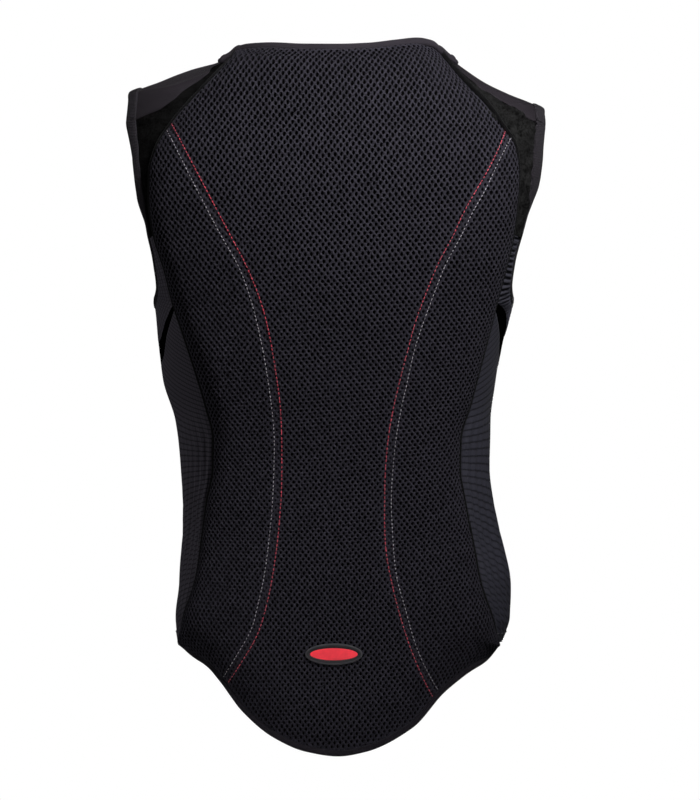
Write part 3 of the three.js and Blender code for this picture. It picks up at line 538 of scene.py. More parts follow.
def thread_material(name, base):
    """Twisted sewing thread."""
    n = Nodes(name, base, 0.5, Sheen_Weight=0.2, Specular_IOR_Level=0.4)
    twist = n.noise(n.place(), 1500, 2)
    n.tint(n.ramp(twist, 0, 1, 0.3, 0.7), mixed(base, 0.7), mixed(base, 1.25))
    n.bump(twist, 0.0003)
    return n.material


def moulded_material(name, base, roughness, grain_size=1200):
    """Moulded rubber or plastic with a fine grain and slight scuffs."""
    n = Nodes(name, base, roughness, Specular_IOR_Level=0.25)
    grain = n.noise(n.place(), grain_size, 2)
    scuff = n.noise(n.place(), 120, 4, 0.7)
    n.tint(n.ramp(scuff, 0, 1, 0.3, 0.75), mixed(base, 0.88), mixed(base, 1.12))
    n.rough(n.ramp(scuff, roughness - 0.07, roughness + 0.1, 0.3, 0.75))
    n.bump(grain, 0.00012)
    return n.material


# The floor's own pale tone, which lights nothing else
FLOOR_GLOW = 0.62


def floor_material():
    """Pale paper floor with a faint fibre."""
    n = Nodes("floor_paper", (0.8, 0.8, 0.79), 0.9, Specular_IOR_Level=0.1, Emission_Strength=FLOOR_GLOW)
    n.shader.inputs["Emission Color"].default_value = (1, 1, 0.99, 1)
    fibre = n.noise(n.place(), 9, 4)
    n.tint(fibre, (0.78, 0.78, 0.775), (0.82, 0.82, 0.815))
    return n.material


LINING_PITCH = 5.3
LINING_ROWS = 7.2
CHARCOAL = (0.0135, 0.0110, 0.0142)
YARN = yarn_material("spacer_mesh_yarn", (0.0172, 0.0159, 0.0218))
# A darker copy of the yarn for the inner walls of the holes: painted shade.
YARN_PAINTED_SHADE = yarn_material("spacer_mesh_yarn_painted_shade", (0.0030, 0.0028, 0.0036))
DEPTH = core_material()
LINING = inner_mesh_material(LINING_PITCH, LINING_ROWS)
# Three copies of one black stretch cloth in three tones: the left yoke's darker copy is painted shade, the right yoke's
# lighter copy is painted light, and the gusset's near-black copy is painted shadow under the arm.
BLACK_PAINTED_SHADE_LEFT = black_stretch_material("black_stretch_left_painted_shade", 0.0012, 0.0060)
BLACK_PAINTED_LIGHT_RIGHT = black_stretch_material("black_stretch_right_painted_light", 0.0022, 0.0145)
BLACK_PAINTED_SHADOW_GUSSET = black_stretch_material("black_stretch_gusset_painted_shadow", 0.0002, 0.0007)
# Copies of one ribbed knit in different tones: the left copy is lighter than the right as painted light, and the
# underarm copy is lighter than the right panel's as painted light.
RIB_LEFT_PAINTED_LIGHT = ribbed_material("ribbed_knit_left_painted_light", (0.0400, 0.0362, 0.0470), 4.2, 3.6, 0.75, 0.74)
RIB_RIGHT = ribbed_material("ribbed_knit_right", (0.0188, 0.0185, 0.0255), 6.0, 1.6, 0.25, 0.62)
RIB_UNDERARM_PAINTED_LIGHT = ribbed_material("ribbed_knit_underarm_painted_light", (0.0225, 0.0221, 0.0296), 6.1, 1.6, 0.15, 0.5)
SMOOTH = smooth_cloth_material("smooth_cloth", CHARCOAL)
TAPE = binding_material("binding_knit", (0.0185, 0.0162, 0.0200))
COLLAR = smooth_cloth_material("collar_tape", (0.0185, 0.0158, 0.0205), 0.7)
TAIL_TAPE = binding_material("tail_tape", (0.0135, 0.0115, 0.0155))
# Near-black piping: sewn piping along the upper edges, and down the sides painted shadow between the board and the side
# panels.
PIPING_AND_PAINTED_SHADOW = binding_material("edge_piping_and_painted_shadow", (0.003, 0.0028, 0.0034), 1.0)
RED_THREAD = thread_material("red_thread", (0.42, 0.016, 0.042))
GREY_THREAD = thread_material("grey_thread", (0.29, 0.275, 0.305))
DARK_THREAD = thread_material("charcoal_thread", (0.034, 0.030, 0.038))
ZIP_CLOTH = binding_material("zip_tape", (0.008, 0.0075, 0.0085), 1.1)
ZIP_PLASTIC = moulded_material("zip_plastic", (0.006, 0.006, 0.0065), 0.38)
BADGE_RED = moulded_material("badge_red", (0.80, 0.032, 0.052), 0.5)
BADGE_DARK = moulded_material("badge_rim", (0.011, 0.0105, 0.0125), 0.6)
BADGE_EDGE = moulded_material("badge_edge", (0.035, 0.034, 0.039), 0.6)


# Meshes -----------------------------------------------------------------------------------------


def new_piece(name, points, faces, material, weave=None, face_material=None, flat=False):
    """A piece from points in millimetres and arrays of triangles or quads."""
    mesh = bpy.data.meshes.new(name)
    faces = [np.asarray(f, np.int32) for f in faces if len(f)]
    corners = np.concatenate([f.ravel() for f in faces])
    sizes = np.concatenate([np.full(len(f), f.shape[1], np.int32) for f in faces])
    starts = np.concatenate([[0], np.cumsum(sizes)[:-1]]).astype(np.int32)
    mesh.vertices.add(len(points))
    mesh.vertices.foreach_set("co", (np.asarray(points, float) * MM).astype(np.float32).ravel())
    mesh.loops.add(len(corners))
    mesh.loops.foreach_set("vertex_index", corners)
    mesh.polygons.add(len(sizes))
    mesh.polygons.foreach_set("loop_start", starts)
    mesh.update(calc_edges=True)
    mesh.polygons.foreach_set("use_smooth", np.full(len(sizes), not flat))
    if weave is not None:
        layer = mesh.attributes.new("weave", "FLOAT_VECTOR", "POINT")
        layer.data.foreach_set("vector", np.asarray(weave, np.float32).ravel())
    for one in material if isinstance(material, (list, tuple)) else [material]:
        mesh.materials.append(one)
    if face_material is not None:
        mesh.polygons.foreach_set("material_index", np.asarray(face_material, np.int32))
    mesh.validate()
    mesh.update()
    piece = bpy.data.objects.new(name, mesh)
    bpy.context.scene.collection.objects.link(piece)
    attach(piece, BODY)
    return piece


def grid_quads(rows, columns, start=0, wrap=False):
    i = np.arange(rows - 1)[:, None] * columns
    j = np.arange(columns if wrap else columns - 1)[None, :]
    k = (j + 1) % columns
    a, b, c, d = i + j, i + k, i + columns + k, i + columns + j
    return start + np.stack([a + 0 * j, b, c, d], -1).reshape(-1, 4)


def rim_quads(rows, columns, skin):
    top = np.arange(columns)
    right = np.arange(1, rows) * columns + columns - 1
    bottom = (rows - 1) * columns + np.arange(columns - 2, -1, -1)
    left = np.arange(rows - 2, 0, -1) * columns
    loop = np.concatenate([top, right, bottom, left])
    after = np.roll(loop, -1)
    return np.stack([after, loop, skin + loop, skin + after], -1)


def arcs(points, axis):
    """Lengths run along one axis of a grid of points."""
    steps = np.linalg.norm(np.diff(points, axis=axis), axis=-1)
    run = np.cumsum(steps, axis=axis)
    pad = [(0, 0)] * run.ndim
    pad[axis] = (1, 0)
    return np.pad(run, pad)


def cloth(name, points, normals, thickness, material, rise=0.0, weave=None, node=None):
    """A sheet of cloth with two faces and a rim."""
    rows, columns = points.shape[:2]
    rise = np.broadcast_to(rise, points.shape[:2])[..., None]
    inner = points + normals * rise
    outer = inner + normals * thickness
    both = np.concatenate([inner.reshape(-1, 3), outer.reshape(-1, 3)])
    skin = rows * columns
    quads = grid_quads(rows, columns)
    du, dv = outer[0, 1] - outer[0, 0], outer[1, 0] - outer[0, 0]
    facing_out = np.dot(np.cross(du, dv), normals[0, 0]) > 0
    faces = np.concatenate([quads[:, ::-1], quads + skin, rim_quads(rows, columns, skin)[:, ::-1]])
    if not facing_out:
        faces = faces[:, ::-1]
    across, along = arcs(points, 1), arcs(points, 0)
    if weave is None:
        weave = np.stack([across, points[..., 2], 0 * across], -1)
    weave = np.concatenate([weave.reshape(-1, 3)] * 2)
    piece = new_piece(name, both, [faces], material, weave)
    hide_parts(node or name)
    a, b, c = points[:-1, :-1], points[:-1, 1:], points[1:, :-1]
    area = np.linalg.norm(np.cross(b - a, c - a), axis=-1).sum() * MM * MM
    width, length = across.max() * MM, along.max() * MM
    if width * length < area:
        width = area / length
    area = max(area, 0.31 * width * length)
    return piece


def ripple(points, wavelength, seed, waves=7):
    """A smooth random field of about unit height."""
    draw = np.random.default_rng(seed)
    directions = unit(draw.normal(size=(waves, 3)))
    lengths = wavelength * draw.uniform(0.7, 1.5, waves)
    phases = draw.uniform(0, 2 * math.pi, waves)
    total = np.zeros(points.shape[:-1])
    for direction, length, phase in zip(directions, lengths, phases):
        total += np.sin(points @ direction * (2 * math.pi / length) + phase)
    return total / math.sqrt(waves)


def line_frames(points, normals, target, closed):
    if closed:
        along = np.roll(points, -1, 0) - np.roll(points, 1, 0)
    else:
        along = np.gradient(points, axis=0)
    aside = unit(np.cross(along, normals))
    wrong = ((target - points) * aside).sum(-1) < 0
    aside[wrong] *= -1
    return aside


def rounded_profile(width, thickness, count=18, power=3.2, start=-1.2, under=0.2):
    """A soft closed outline from `start` to `width` aside and from -`under` to `thickness` outward."""
    angle = np.arange(count) / count * 2 * math.pi
    c, s = np.cos(angle), np.sin(angle)
    size = (np.abs(c) ** power + np.abs(s) ** power) ** (-1 / power)
    half_u, half_v = (width - start) / 2, (thickness + under) / 2
    return np.stack([start + half_u + half_u * c * size, half_v - under + half_v * s * size], -1)


def sweep(name, points, normals, aside, profile, material, closed=False, scale=None, nodes=(), width=None):
    """A closed profile swept along a line; scale narrows it along the way."""
    count, sides = len(points), len(profile)
    shape = np.repeat(profile[None], count, 0)
    if scale is not None:
        shape = shape * np.stack([scale, lerp(0.5, 1, scale)], -1)[:, None]
    rings = points[:, None] + aside[:, None] * shape[..., :1] + normals[:, None] * shape[..., 1:]
    along = arcs(points[:, None], 0)[:, 0]
    around = arcs(profile[:, None], 0)[:, 0]
    weave = np.stack(np.broadcast_arrays(along[:, None], around[None], 0.0), -1)
    quads = grid_quads(count, sides, wrap=True)
    extra = []
    flat_points = rings.reshape(-1, 3)
    flat_weave = weave.reshape(-1, 3)
    if closed:
        last = (count - 1) * sides + np.arange(sides)
        first = np.arange(sides)
        quads = np.concatenate([quads, np.stack([last, np.roll(last, -1), np.roll(first, -1), first], -1)])
    else:
        for ring, flip in ((0, True), (count - 1, False)):
            centre = len(flat_points)
            flat_points = np.concatenate([flat_points, rings[ring].mean(0)[None]])
            flat_weave = np.concatenate([flat_weave, weave[ring].mean(0)[None]])
            loop = ring * sides + np.arange(sides)
            fan = np.stack([loop, np.roll(loop, -1), np.full(sides, centre)], -1)
            extra.append(fan[:, ::-1] if flip else fan)
    tri = rings[0, 1] - rings[0, 0]
    outward = rings[0, 0] - rings[0].mean(0)
    if np.dot(np.cross(tri, rings[1, 0] - rings[0, 0]), outward) < 0:
        quads = quads[:, ::-1]
        extra = [e[:, ::-1] for e in extra]
    piece = new_piece(name, flat_points, [quads, *extra], material, flat_weave)
    for node in nodes:
        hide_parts(node)
    return piece


# The armhole, shoulder and front, as signed angle and down ---------------------------------------


def shoulder_back(sign, at):
    columns = (0, 1) if sign < 0 else (2, 3)
    rows = SHOULDER_SEAM[:, columns]
    angles = angle_at(sign, rows[:, 0], rows[:, 1])
    both = hermite(np.arange(len(rows)), np.stack([angles, rows[:, 1]], -1), at)
    return both[..., 0], both[..., 1]


def shoulder_front(sign, at):
    rows = FRONT_SHOULDER_SEAM
    angles = angle_at(sign, rows[:, 0], rows[:, 1], True)
    both = hermite(np.arange(len(rows)), np.stack([angles, rows[:, 1]], -1), at)
    return both[..., 0], both[..., 1]


LAST_SLICE = len(SHOULDER_SEAM) - 1
UNDERARM_START = len(ARMHOLE_BACK) + 1
UNDERARM_END = UNDERARM_START + UNDERARM_ROWS
ARMHOLE_END = len(ARMHOLE_BACK) + len(ARMHOLE_FRONT) + 1


def armhole(sign, at):
    """The armhole's seam by row number, from the shoulder's back corner to its front corner."""
    start, end = shoulder_back(sign, LAST_SLICE), shoulder_front(sign, LAST_SLICE)
    back = ARMHOLE_BACK
    angles = np.concatenate([
        [start[0]], angle_at(sign, back[:, 1 if sign < 0 else 2], back[:, 0]),
        turn_angle(ARMHOLE_FRONT[:, 0]), [end[0]],
    ])
    downs = np.concatenate([[start[1]], back[:, 0], ARMHOLE_FRONT[:, 1], [end[1]]])
    both = hermite(np.arange(len(angles)), np.stack([angles, downs], -1), at)
    return both[..., 0], both[..., 1]


def over_shoulder(sign, slices, across):
    """Points over the shoulder, where rays in planes of constant x leave the torso."""
    slices, across = np.meshgrid(slices, across, indexing="ij")
    start = place(sign * shoulder_back(sign, slices)[0], shoulder_back(sign, slices)[1])
    end = place(sign * shoulder_front(sign, slices)[0], shoulder_front(sign, slices)[1])
    centre_z = np.minimum(start[..., 2], end[..., 2]) - HALF_DEPTH / 4
    from_angle = np.arctan2(start[..., 2] - centre_z, -start[..., 1])
    to_angle = np.arctan2(end[..., 2] - centre_z, -end[..., 1])
    angle = lerp(from_angle, to_angle, across)
    x = lerp(start[..., 0], end[..., 0], across)
    low, high = np.zeros_like(x), np.full_like(x, 2 * HALF_DEPTH)
    for _ in range(34):
        middle = (low + high) / 2
        p = np.stack([x, -middle * np.cos(angle), centre_z + middle * np.sin(angle)], -1)
        inside = outsideness(p) < 0
        low, high = np.where(inside, middle, low), np.where(inside, high, middle)
    return np.stack([x, -low * np.cos(angle), centre_z + low * np.sin(angle)], -1)


# The board --------------------------------------------------------------------------------------

GRID_STEP = 2.0
GRID_S = np.arange(-250, 250 + GRID_STEP, GRID_STEP)
GRID_Z = np.arange(-700, 40 + GRID_STEP, GRID_STEP)


def arc_tables():
    """For each height of the grid, the angle at each arc length over the full pad, and back."""
    angles = np.linspace(-2.1, 2.1, 701)
    downs = down_of(GRID_Z)
    p = place(angles[None], downs[:, None])
    n = normals_at(p)
    over = p + n * PAD_THICKNESS
    over[..., 2] = p[..., 2]
    run = arcs(over, 1)
    run -= run[:, len(angles) // 2][:, None]
    at_s = np.stack([np.interp(GRID_S, row, angles) for row in run])
    return angles, run, at_s


ARC_ANGLES, ARC_RUN, ANGLE_AT_S = arc_tables()


def arc_of(angle, down):
    """Arc length over the pad of places given by angle and down."""
    z = np.clip((height(down) - GRID_Z[0]) / GRID_STEP, 0, len(GRID_Z) - 1.001)
    low = z.astype(int)
    t = z - low
    first = [np.interp(a, ARC_ANGLES, ARC_RUN[i]) for a, i in zip(angle, low)]
    second = [np.interp(a, ARC_ANGLES, ARC_RUN[i + 1]) for a, i in zip(angle, low)]
    return lerp(np.array(first), np.array(second), t)


def outline_of_board(count=160):
    edge = np.linspace(BOARD_TOP, BOARD_FOOT, count)
    across = np.linspace(-1, 1, count)
    parts = [on_board(across, BOARD_TOP), on_board(1.0, edge), on_board(across[::-1], BOARD_FOOT), on_board(-1.0, edge[::-1])]
    angle = np.concatenate([a[:-1] for a, _ in parts])
    down = np.concatenate([d[:-1] for _, d in parts])
    return np.stack([arc_of(angle, down), height(down)], -1)


OUTLINE = outline_of_board()


def nearest_on_outline(q):
    """Distance to the board's outline, inside over 0, and the nearest point on it."""
    a = OUTLINE
    ab = np.roll(OUTLINE, -1, 0) - a
    length2 = (ab**2).sum(-1)
    distance = np.full(len(q), 1e9)
    nearest = np.zeros_like(q)
    inside = np.zeros(len(q), bool)
    for i in range(len(a)):
        t = np.clip(((q - a[i]) @ ab[i]) / length2[i], 0, 1)
        p = a[i] + t[:, None] * ab[i]
        d = ((q - p) ** 2).sum(-1)
        closer = d < distance
        distance[closer] = d[closer]
        nearest[closer] = p[closer]
        (x0, y0), (x1, y1) = a[i], a[i] + ab[i]
        if y0 != y1:
            crosses = (y0 > q[:, 1]) != (y1 > q[:, 1])
            inside ^= crosses & (q[:, 0] < x0 + (q[:, 1] - y0) * (x1 - x0) / (y1 - y0))
    return np.where(inside, 1, -1) * np.sqrt(distance), nearest


def pad_height(inset, s, z):
    """The pad's height by the distance from its edge: softer at the nape, right shoulder and tail."""
    thin = np.maximum(smooth(s, 60, 110) * smooth(z, -110, -40), 0.3 * smooth(z, -75, 5))
    thin = np.maximum(thin, 0.6 * smooth(-z, 500, 620))
    t = np.clip(inset / lerp(PAD_ROLL, 2 * PAD_ROLL, thin), 0, 1)
    return lerp(lerp(PAD_EDGE, 0.25 * PAD_EDGE, thin), PAD_THICKNESS, (1 - (1 - t) ** 2) ** lerp(0.7, 1, thin))


def bilinear(table, s, z):
    u = np.clip((s - GRID_S[0]) / GRID_STEP, 0, len(GRID_S) - 1.001)
    v = np.clip((z - GRID_Z[0]) / GRID_STEP, 0, len(GRID_Z) - 1.001)
    i, j = v.astype(int), u.astype(int)
    a, b = (v - i)[..., None], (u - j)[..., None]
    return (table[i, j] * (1 - a) + table[i + 1, j] * a) * (1 - b) + (
        table[i, j + 1] * (1 - a) + table[i + 1, j + 1] * a) * b


def board_tables():
    s, z = np.meshgrid(GRID_S, GRID_Z)
    base = place(ANGLE_AT_S, down_of(z))
    inset = nearest_on_outline(np.stack([s, z], -1).reshape(-1, 2))[0].reshape(s.shape)
    return base, normals_at(base), inset[..., None]


BASE, NORMAL, INSET = board_tables()


def evened(line, reach):
    """A line without its small kinks: each point is averaged with those up to `reach` rows away."""
    weight = np.hanning(2 * reach + 3)[1:-1]
    before = 2 * line[0] - line[1:reach + 1][::-1]
    after = 2 * line[-1] - line[-reach - 1:-1][::-1]
    padded = np.concatenate([before, line, after])
    return np.stack([np.convolve(padded[:, k], weight / weight.sum(), "valid") for k in range(2)], -1)


def seam_line(pixels):
    """A stitch line of the photograph laid on the pad: arc length and height, along its run."""
    px = np.array(pixels, float)
    x, z = (px[:, 0] - ORIGIN_PX[0]) * PIXEL, -(px[:, 1] - ORIGIN_PX[1]) * PIXEL
    run = arcs(np.stack([x, z], -1)[:, None], 0)[:, 0]
    fine = np.arange(0, run[-1], 2.0)
    x, seen_z = evened(hermite(run, np.stack([x, z], -1), fine), 9).T
    z = seen_z.copy()
    for _ in range(6):
        low, high = np.full(len(x), -240.0), np.full(len(x), 240.0)
        for _ in range(26):
            s = (low + high) / 2
            level = pad_height(bilinear(INSET, s, z)[..., 0], s, z)
            p = bilinear(BASE, s, z) + bilinear(NORMAL, s, z) * level[..., None]
            less = p[..., 0] < x
            low, high = np.where(less, s, low), np.where(less, high, s)
        z = z + 0.8 * (seen_z - p[..., 2])
    return s, z


SEAMS = {name: seam_line(px) for name, px in (
    ("red_left", RED_LEFT), ("grey_left", GREY_LEFT), ("red_right", RED_RIGHT), ("grey_right", GREY_RIGHT),
)}
SEAM_HALF = 4.0


def seam_at(name, z):
    s, heights = SEAMS[name]
    return np.interp(z, heights[::-1], s[::-1])


def seam_middle(side, z):
    return (seam_at(f"red_{side}", z) + seam_at(f"grey_{side}", z)) / 2


def seam_away(s, z):
    """Distance across from the nearest of the board's two sewn channels."""
    return np.minimum(np.abs(s - seam_middle("left", z)), np.abs(s - seam_middle("right", z)))


def board_height(s, z):
    """The pad's height: rolled edges, a shallow sewn channel, slight unevenness."""
    inset = bilinear(INSET, s, z)[..., 0]
    lift = pad_height(inset, s, z)
    channel = 0.9 * np.exp(-((seam_away(s, z) / 4.5) ** 2)) * smooth(inset, 0, 12)
    flat = np.stack([s, z, 0 * s], -1)
    return lift - channel + 0.5 * ripple(flat, 120, 5) * smooth(inset, 5, 30)


def on_pad(s, z, lift):
    """Points at a height over the pad's outer face."""
    level = board_height(s, z) + lift
    return bilinear(BASE, s, z) + bilinear(NORMAL, s, z) * level[..., None]


# The net's rows and columns by height: the pitch across, the height of two rows, how far the columns
# lean to the right going down, the slope of the rows, and how far they bow up 100 mm out
LATTICE = np.array([
    [-640, 5.42, 6.9, 0.035, 0.062, 4.4],
    [-595, 5.32, 6.9, 0.035, 0.062, 4.2],
    [-543, 5.24, 6.66, 0.034, 0.05, 3.6],
    [-481, 5.26, 6.74, 0.05, 0.055, 3.8],
    [-410, 5.31, 6.98, 0.047, 0.068, 3.1],
    [-334, 5.38, 7.03, 0.045, 0.076, 1.5],
    [-258, 5.52, 7.08, 0.051, 0.077, 0.9],
    [-182, 5.67, 7.36, 0.067, 0.084, 0.8],
    [-111, 5.82, 7.38, 0.072, 0.092, 1.0],
    [20, 5.9, 7.36, 0.075, 0.095, 1.0],
])
LATTICE_Z = np.arange(-780.0, 120.0)
LATTICE_AT = hermite(LATTICE[:, 0], LATTICE[:, 1:], LATTICE_Z)
LATTICE_ROW = np.cumsum(1 / LATTICE_AT[:, 1])
LATTICE_SHIFT = -np.cumsum(LATTICE_AT[:, 2])
LATTICE_ROW -= np.interp(0, LATTICE_Z, LATTICE_ROW)
LATTICE_SHIFT -= np.interp(-BACK_LENGTH / 2, LATTICE_Z, LATTICE_SHIFT)
# Half-height of the holes down the back
HOLE_TALL = np.array([[-680, 1.6], [-480, 1.38], [-300, 1.38], [-150, 1.7], [30, 2.0]])
HOLE_WIDE = np.array([[-680, 1.1], [-300, 1.05], [-150, 1.2], [30, 1.32]])
# A cell of the net in shares of the pitch and of two rows
HEX_TOP = 0.385
HEX_SIDE = 0.5 - HEX_TOP
CELL = np.array([
    [0.5, -HEX_SIDE], [0.5, 0], [0.5, HEX_SIDE], [0.25, 0.25], [0, HEX_TOP], [-0.25, 0.25],
    [-0.5, HEX_SIDE], [-0.5, 0], [-0.5, -HEX_SIDE], [-0.25, -0.25], [0, -HEX_TOP], [0.25, -0.25],
])
CELL_CORNERS = len(CELL)


def net_place(column, row):
    """Arc length and height of a place in the net's own columns and rows."""
    z = np.interp(row, LATTICE_ROW, LATTICE_Z)
    pitch, slope, bow = (np.interp(z, LATTICE_Z, LATTICE_AT[:, k]) for k in (0, 3, 4))
    s = column * pitch + np.interp(z, LATTICE_Z, LATTICE_SHIFT)
    return s, z + slope * s + bow * (s / 100) ** 2


def mesh_net():
    """The net of the spacer mesh: a ring of yarn round each hole, sunk towards the pad."""
    i, j = np.meshgrid(np.arange(-100, 101), np.arange(-216, 24))
    staggered = (i + j) % 2 == 0
    a, b = i[staggered] / 2, j[staggered] / 2
    s, z = net_place(a, b)
    inset = bilinear(INSET, s, z)[..., 0]
    keep = inset > -2.2
    a, b, s, z, inset = a[keep], b[keep], s[keep], z[keep], inset[keep]
    draw = np.random.default_rng(11)
    count = len(a)

    ring_a, ring_b = a[:, None] + CELL[:, 0], b[:, None] + CELL[:, 1]
    keys = np.round(ring_a * 64).astype(np.int64) * 1000003 + np.round(ring_b * 400).astype(np.int64)
    _, first, ids = np.unique(keys.ravel(), return_index=True, return_inverse=True)
    ids = ids.reshape(count, CELL_CORNERS)
    corner_a, corner_b = ring_a.ravel()[first], ring_b.ravel()[first]
    corner_s, corner_z = net_place(corner_a, corner_b)
    corner_q = np.stack([corner_s, corner_z], -1)
    corner_q += draw.normal(0, 0.05, corner_q.shape)
    outside = bilinear(INSET, corner_q[:, 0], corner_q[:, 1])[..., 0] < 1.5
    distance, nearest = nearest_on_outline(corner_q[outside])
    beyond = distance < 0
    moved = corner_q[outside]
    moved[beyond] = nearest[beyond]
    corner_q[outside] = moved

    centre = np.stack([s, z], -1) + draw.normal(0, 0.06, (count, 2))
    past = inset < 1.5
    distance, nearest = nearest_on_outline(centre[past])
    moved = centre[past]
    moved[distance < 0] = nearest[distance < 0]
    centre[past] = moved

    away = seam_away(centre[:, 0], centre[:, 1])
    pressed = 0.74 + 0.26 * smooth(away, SEAM_HALF - 1, SEAM_HALF + 5)
    near_edge = 0.12 + 0.88 * smooth(inset, -0.5, 5)
    size = pressed * near_edge * draw.normal(1, 0.04, count).clip(0.8, 1.2)
    tall = np.interp(z, HOLE_TALL[:, 0], HOLE_TALL[:, 1])
    wide = np.interp(z, HOLE_WIDE[:, 0], HOLE_WIDE[:, 1])
    around = np.arctan2(CELL[:, 1] / HEX_TOP, CELL[:, 0] * 2)

    def ring(share):
        ds = wide[:, None] * share * size[:, None] * np.cos(around)
        dz = tall[:, None] * share * size[:, None] * np.sin(around)
        return centre[:, None] + np.stack([ds, dz], -1)

    rims = [(1.16, -0.35), (0.88, -2.3)]
    layers = [on_pad(corner_q[:, 0], corner_q[:, 1], 0.0)]
    diagonal = np.abs(np.abs(2 * corner_a) % 1 - 0.5) < 0.1
    upright = ~diagonal & (np.abs((2 * corner_b + 0.5) % 1 - 0.5) < 0.1)
    upper = smooth(corner_z, -330, -200)
    crown = 0.26 * diagonal * (1 - 0.6 * upper) + 0.3 * upright * upper
    layers[0] += bilinear(NORMAL, corner_q[:, 0], corner_q[:, 1]) * crown[:, None]
    for share, sink in rims:
        q = ring(share)
        depth = np.where(sink < -1, sink, sink * (0.5 + 0.5 * size[:, None])) + 0 * q[..., 0]
        layers.append(on_pad(q[..., 0].ravel(), q[..., 1].ravel(), depth.ravel()))
    points = np.concatenate(layers)
    ring_ids = [ids] + [
        len(first) + level * count * CELL_CORNERS + np.arange(count * CELL_CORNERS).reshape(count, -1)
        for level in range(len(rims))
    ]
    panels = {
        "mesh_left": centre[:, 0] < seam_middle("left", centre[:, 1]),
        "mesh_right": centre[:, 0] > seam_middle("right", centre[:, 1]),
    }
    middle = ~(panels["mesh_left"] | panels["mesh_right"])
    panels["mesh_upper"] = middle & (z > -230)
    panels["mesh_middle"] = middle & (z <= -230) & (z > -450)
    panels["mesh_lower"] = middle & (z <= -450)
    pieces = []
    for name, mine in panels.items():
        quads, which = [], []
        for level, (outer, inner) in enumerate(zip(ring_ids[:-1], ring_ids[1:])):
            o, n = outer[mine], inner[mine]
            quads.append(np.stack([o, np.roll(o, -1, 1), np.roll(n, -1, 1), n], -1).reshape(-1, 4))
            which.append(np.full(len(quads[-1]), level))
        quads, which = np.concatenate(quads), np.concatenate(which)
        used, quads = np.unique(quads, return_inverse=True)
        quads = quads.reshape(-1, 4)
        mine_points = points[used]
        p = mine_points[quads]
        area = np.linalg.norm(np.cross(p[:, 2] - p[:, 0], p[:, 3] - p[:, 1]), axis=-1)
        quads, which = quads[area > 1e-3], which[area > 1e-3]
        quads = outward_quads(mine_points, quads)
        # The inner walls of the holes (level 1) take the darker yarn copy as painted shade.
        pieces.append(new_piece(name, mine_points, [quads], [YARN, YARN_PAINTED_SHADE], None, which))
    return pieces


def outward_quads(points, quads):
    """Quads turned to face away from the torso's middle."""
    p = points[quads]
    normal = np.cross(p[:, 2] - p[:, 0], p[:, 3] - p[:, 1])
    out = p.mean(1) * [1, 1, 0]
    wrong = (normal * out).sum(-1).sum() < 0
    return quads[:, ::-1] if wrong else quads


CORE_SINK = 2.5


def board_core():
    """The padded board under the net, with the lining that lies on the wearer's back."""
    across = np.sin(np.linspace(-1, 1, 71) * math.pi / 2)
    across = 0.5 * across + 0.5 * np.linspace(-1, 1, 71)
    edge = np.linspace(BOARD_TOP, BOARD_FOOT, 190)
    angle, down = on_board(across[None], edge[:, None])
    inner = place(angle, down)
    normal = normals_at(inner)
    s = np.stack([arc_of(a, d) for a, d in zip(angle, down)])
    z = height(down)
    level = np.maximum(board_height(s, z) - CORE_SINK, 0.8)
    outer = inner + normal * level[..., None]
    rows, columns = s.shape
    skin = rows * columns
    quads = grid_quads(rows, columns)
    rim = rim_quads(rows, columns, skin)
    faces = np.concatenate([quads[:, ::-1], quads + skin, rim[:, ::-1]])
    a, b, c = outer[60, 30], outer[60, 31], outer[61, 30]
    if np.dot(np.cross(b - a, c - a), normal[60, 30]) < 0:
        faces = faces[:, ::-1]
    which = np.concatenate([np.ones(len(quads)), np.zeros(len(quads)), np.zeros(len(rim))])
    weave = np.stack([s, z, 0 * s], -1).reshape(-1, 3)
    piece = new_piece(
        "board_core", np.concatenate([inner.reshape(-1, 3), outer.reshape(-1, 3)]), [faces],
        [DEPTH, LINING], np.concatenate([weave, weave]), which)
    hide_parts("back_board")
    return piece


# Stitches ---------------------------------------------------------------------------------------


def stitch_shape(sides=6, rings=5):
    """One stitch of unit half-length along x and unit radius, as points and faces."""
    x = np.sin(np.linspace(-1, 1, rings + 2)[1:-1] * math.pi / 2 * 0.9)
    radius = np.sqrt(1 - np.abs(x) ** 2.6)
    angle = np.arange(sides) / sides * 2 * math.pi
    points = np.stack([
        np.repeat(x, sides), (radius[:, None] * np.cos(angle)).ravel(), (radius[:, None] * np.sin(angle)).ravel(),
    ], -1)
    points = np.concatenate([points, [[-1, 0, 0], [1, 0, 0]]])
    quads = grid_quads(rings, sides, wrap=True)
    first, last = np.arange(sides), (rings - 1) * sides + np.arange(sides)
    poles = rings * sides
    caps = np.concatenate([
        np.stack([np.roll(first, -1), first, np.full(sides, poles)], -1),
        np.stack([last, np.roll(last, -1), np.full(sides, poles + 1)], -1),
    ])
    return points, quads[:, ::-1], caps[:, ::-1]


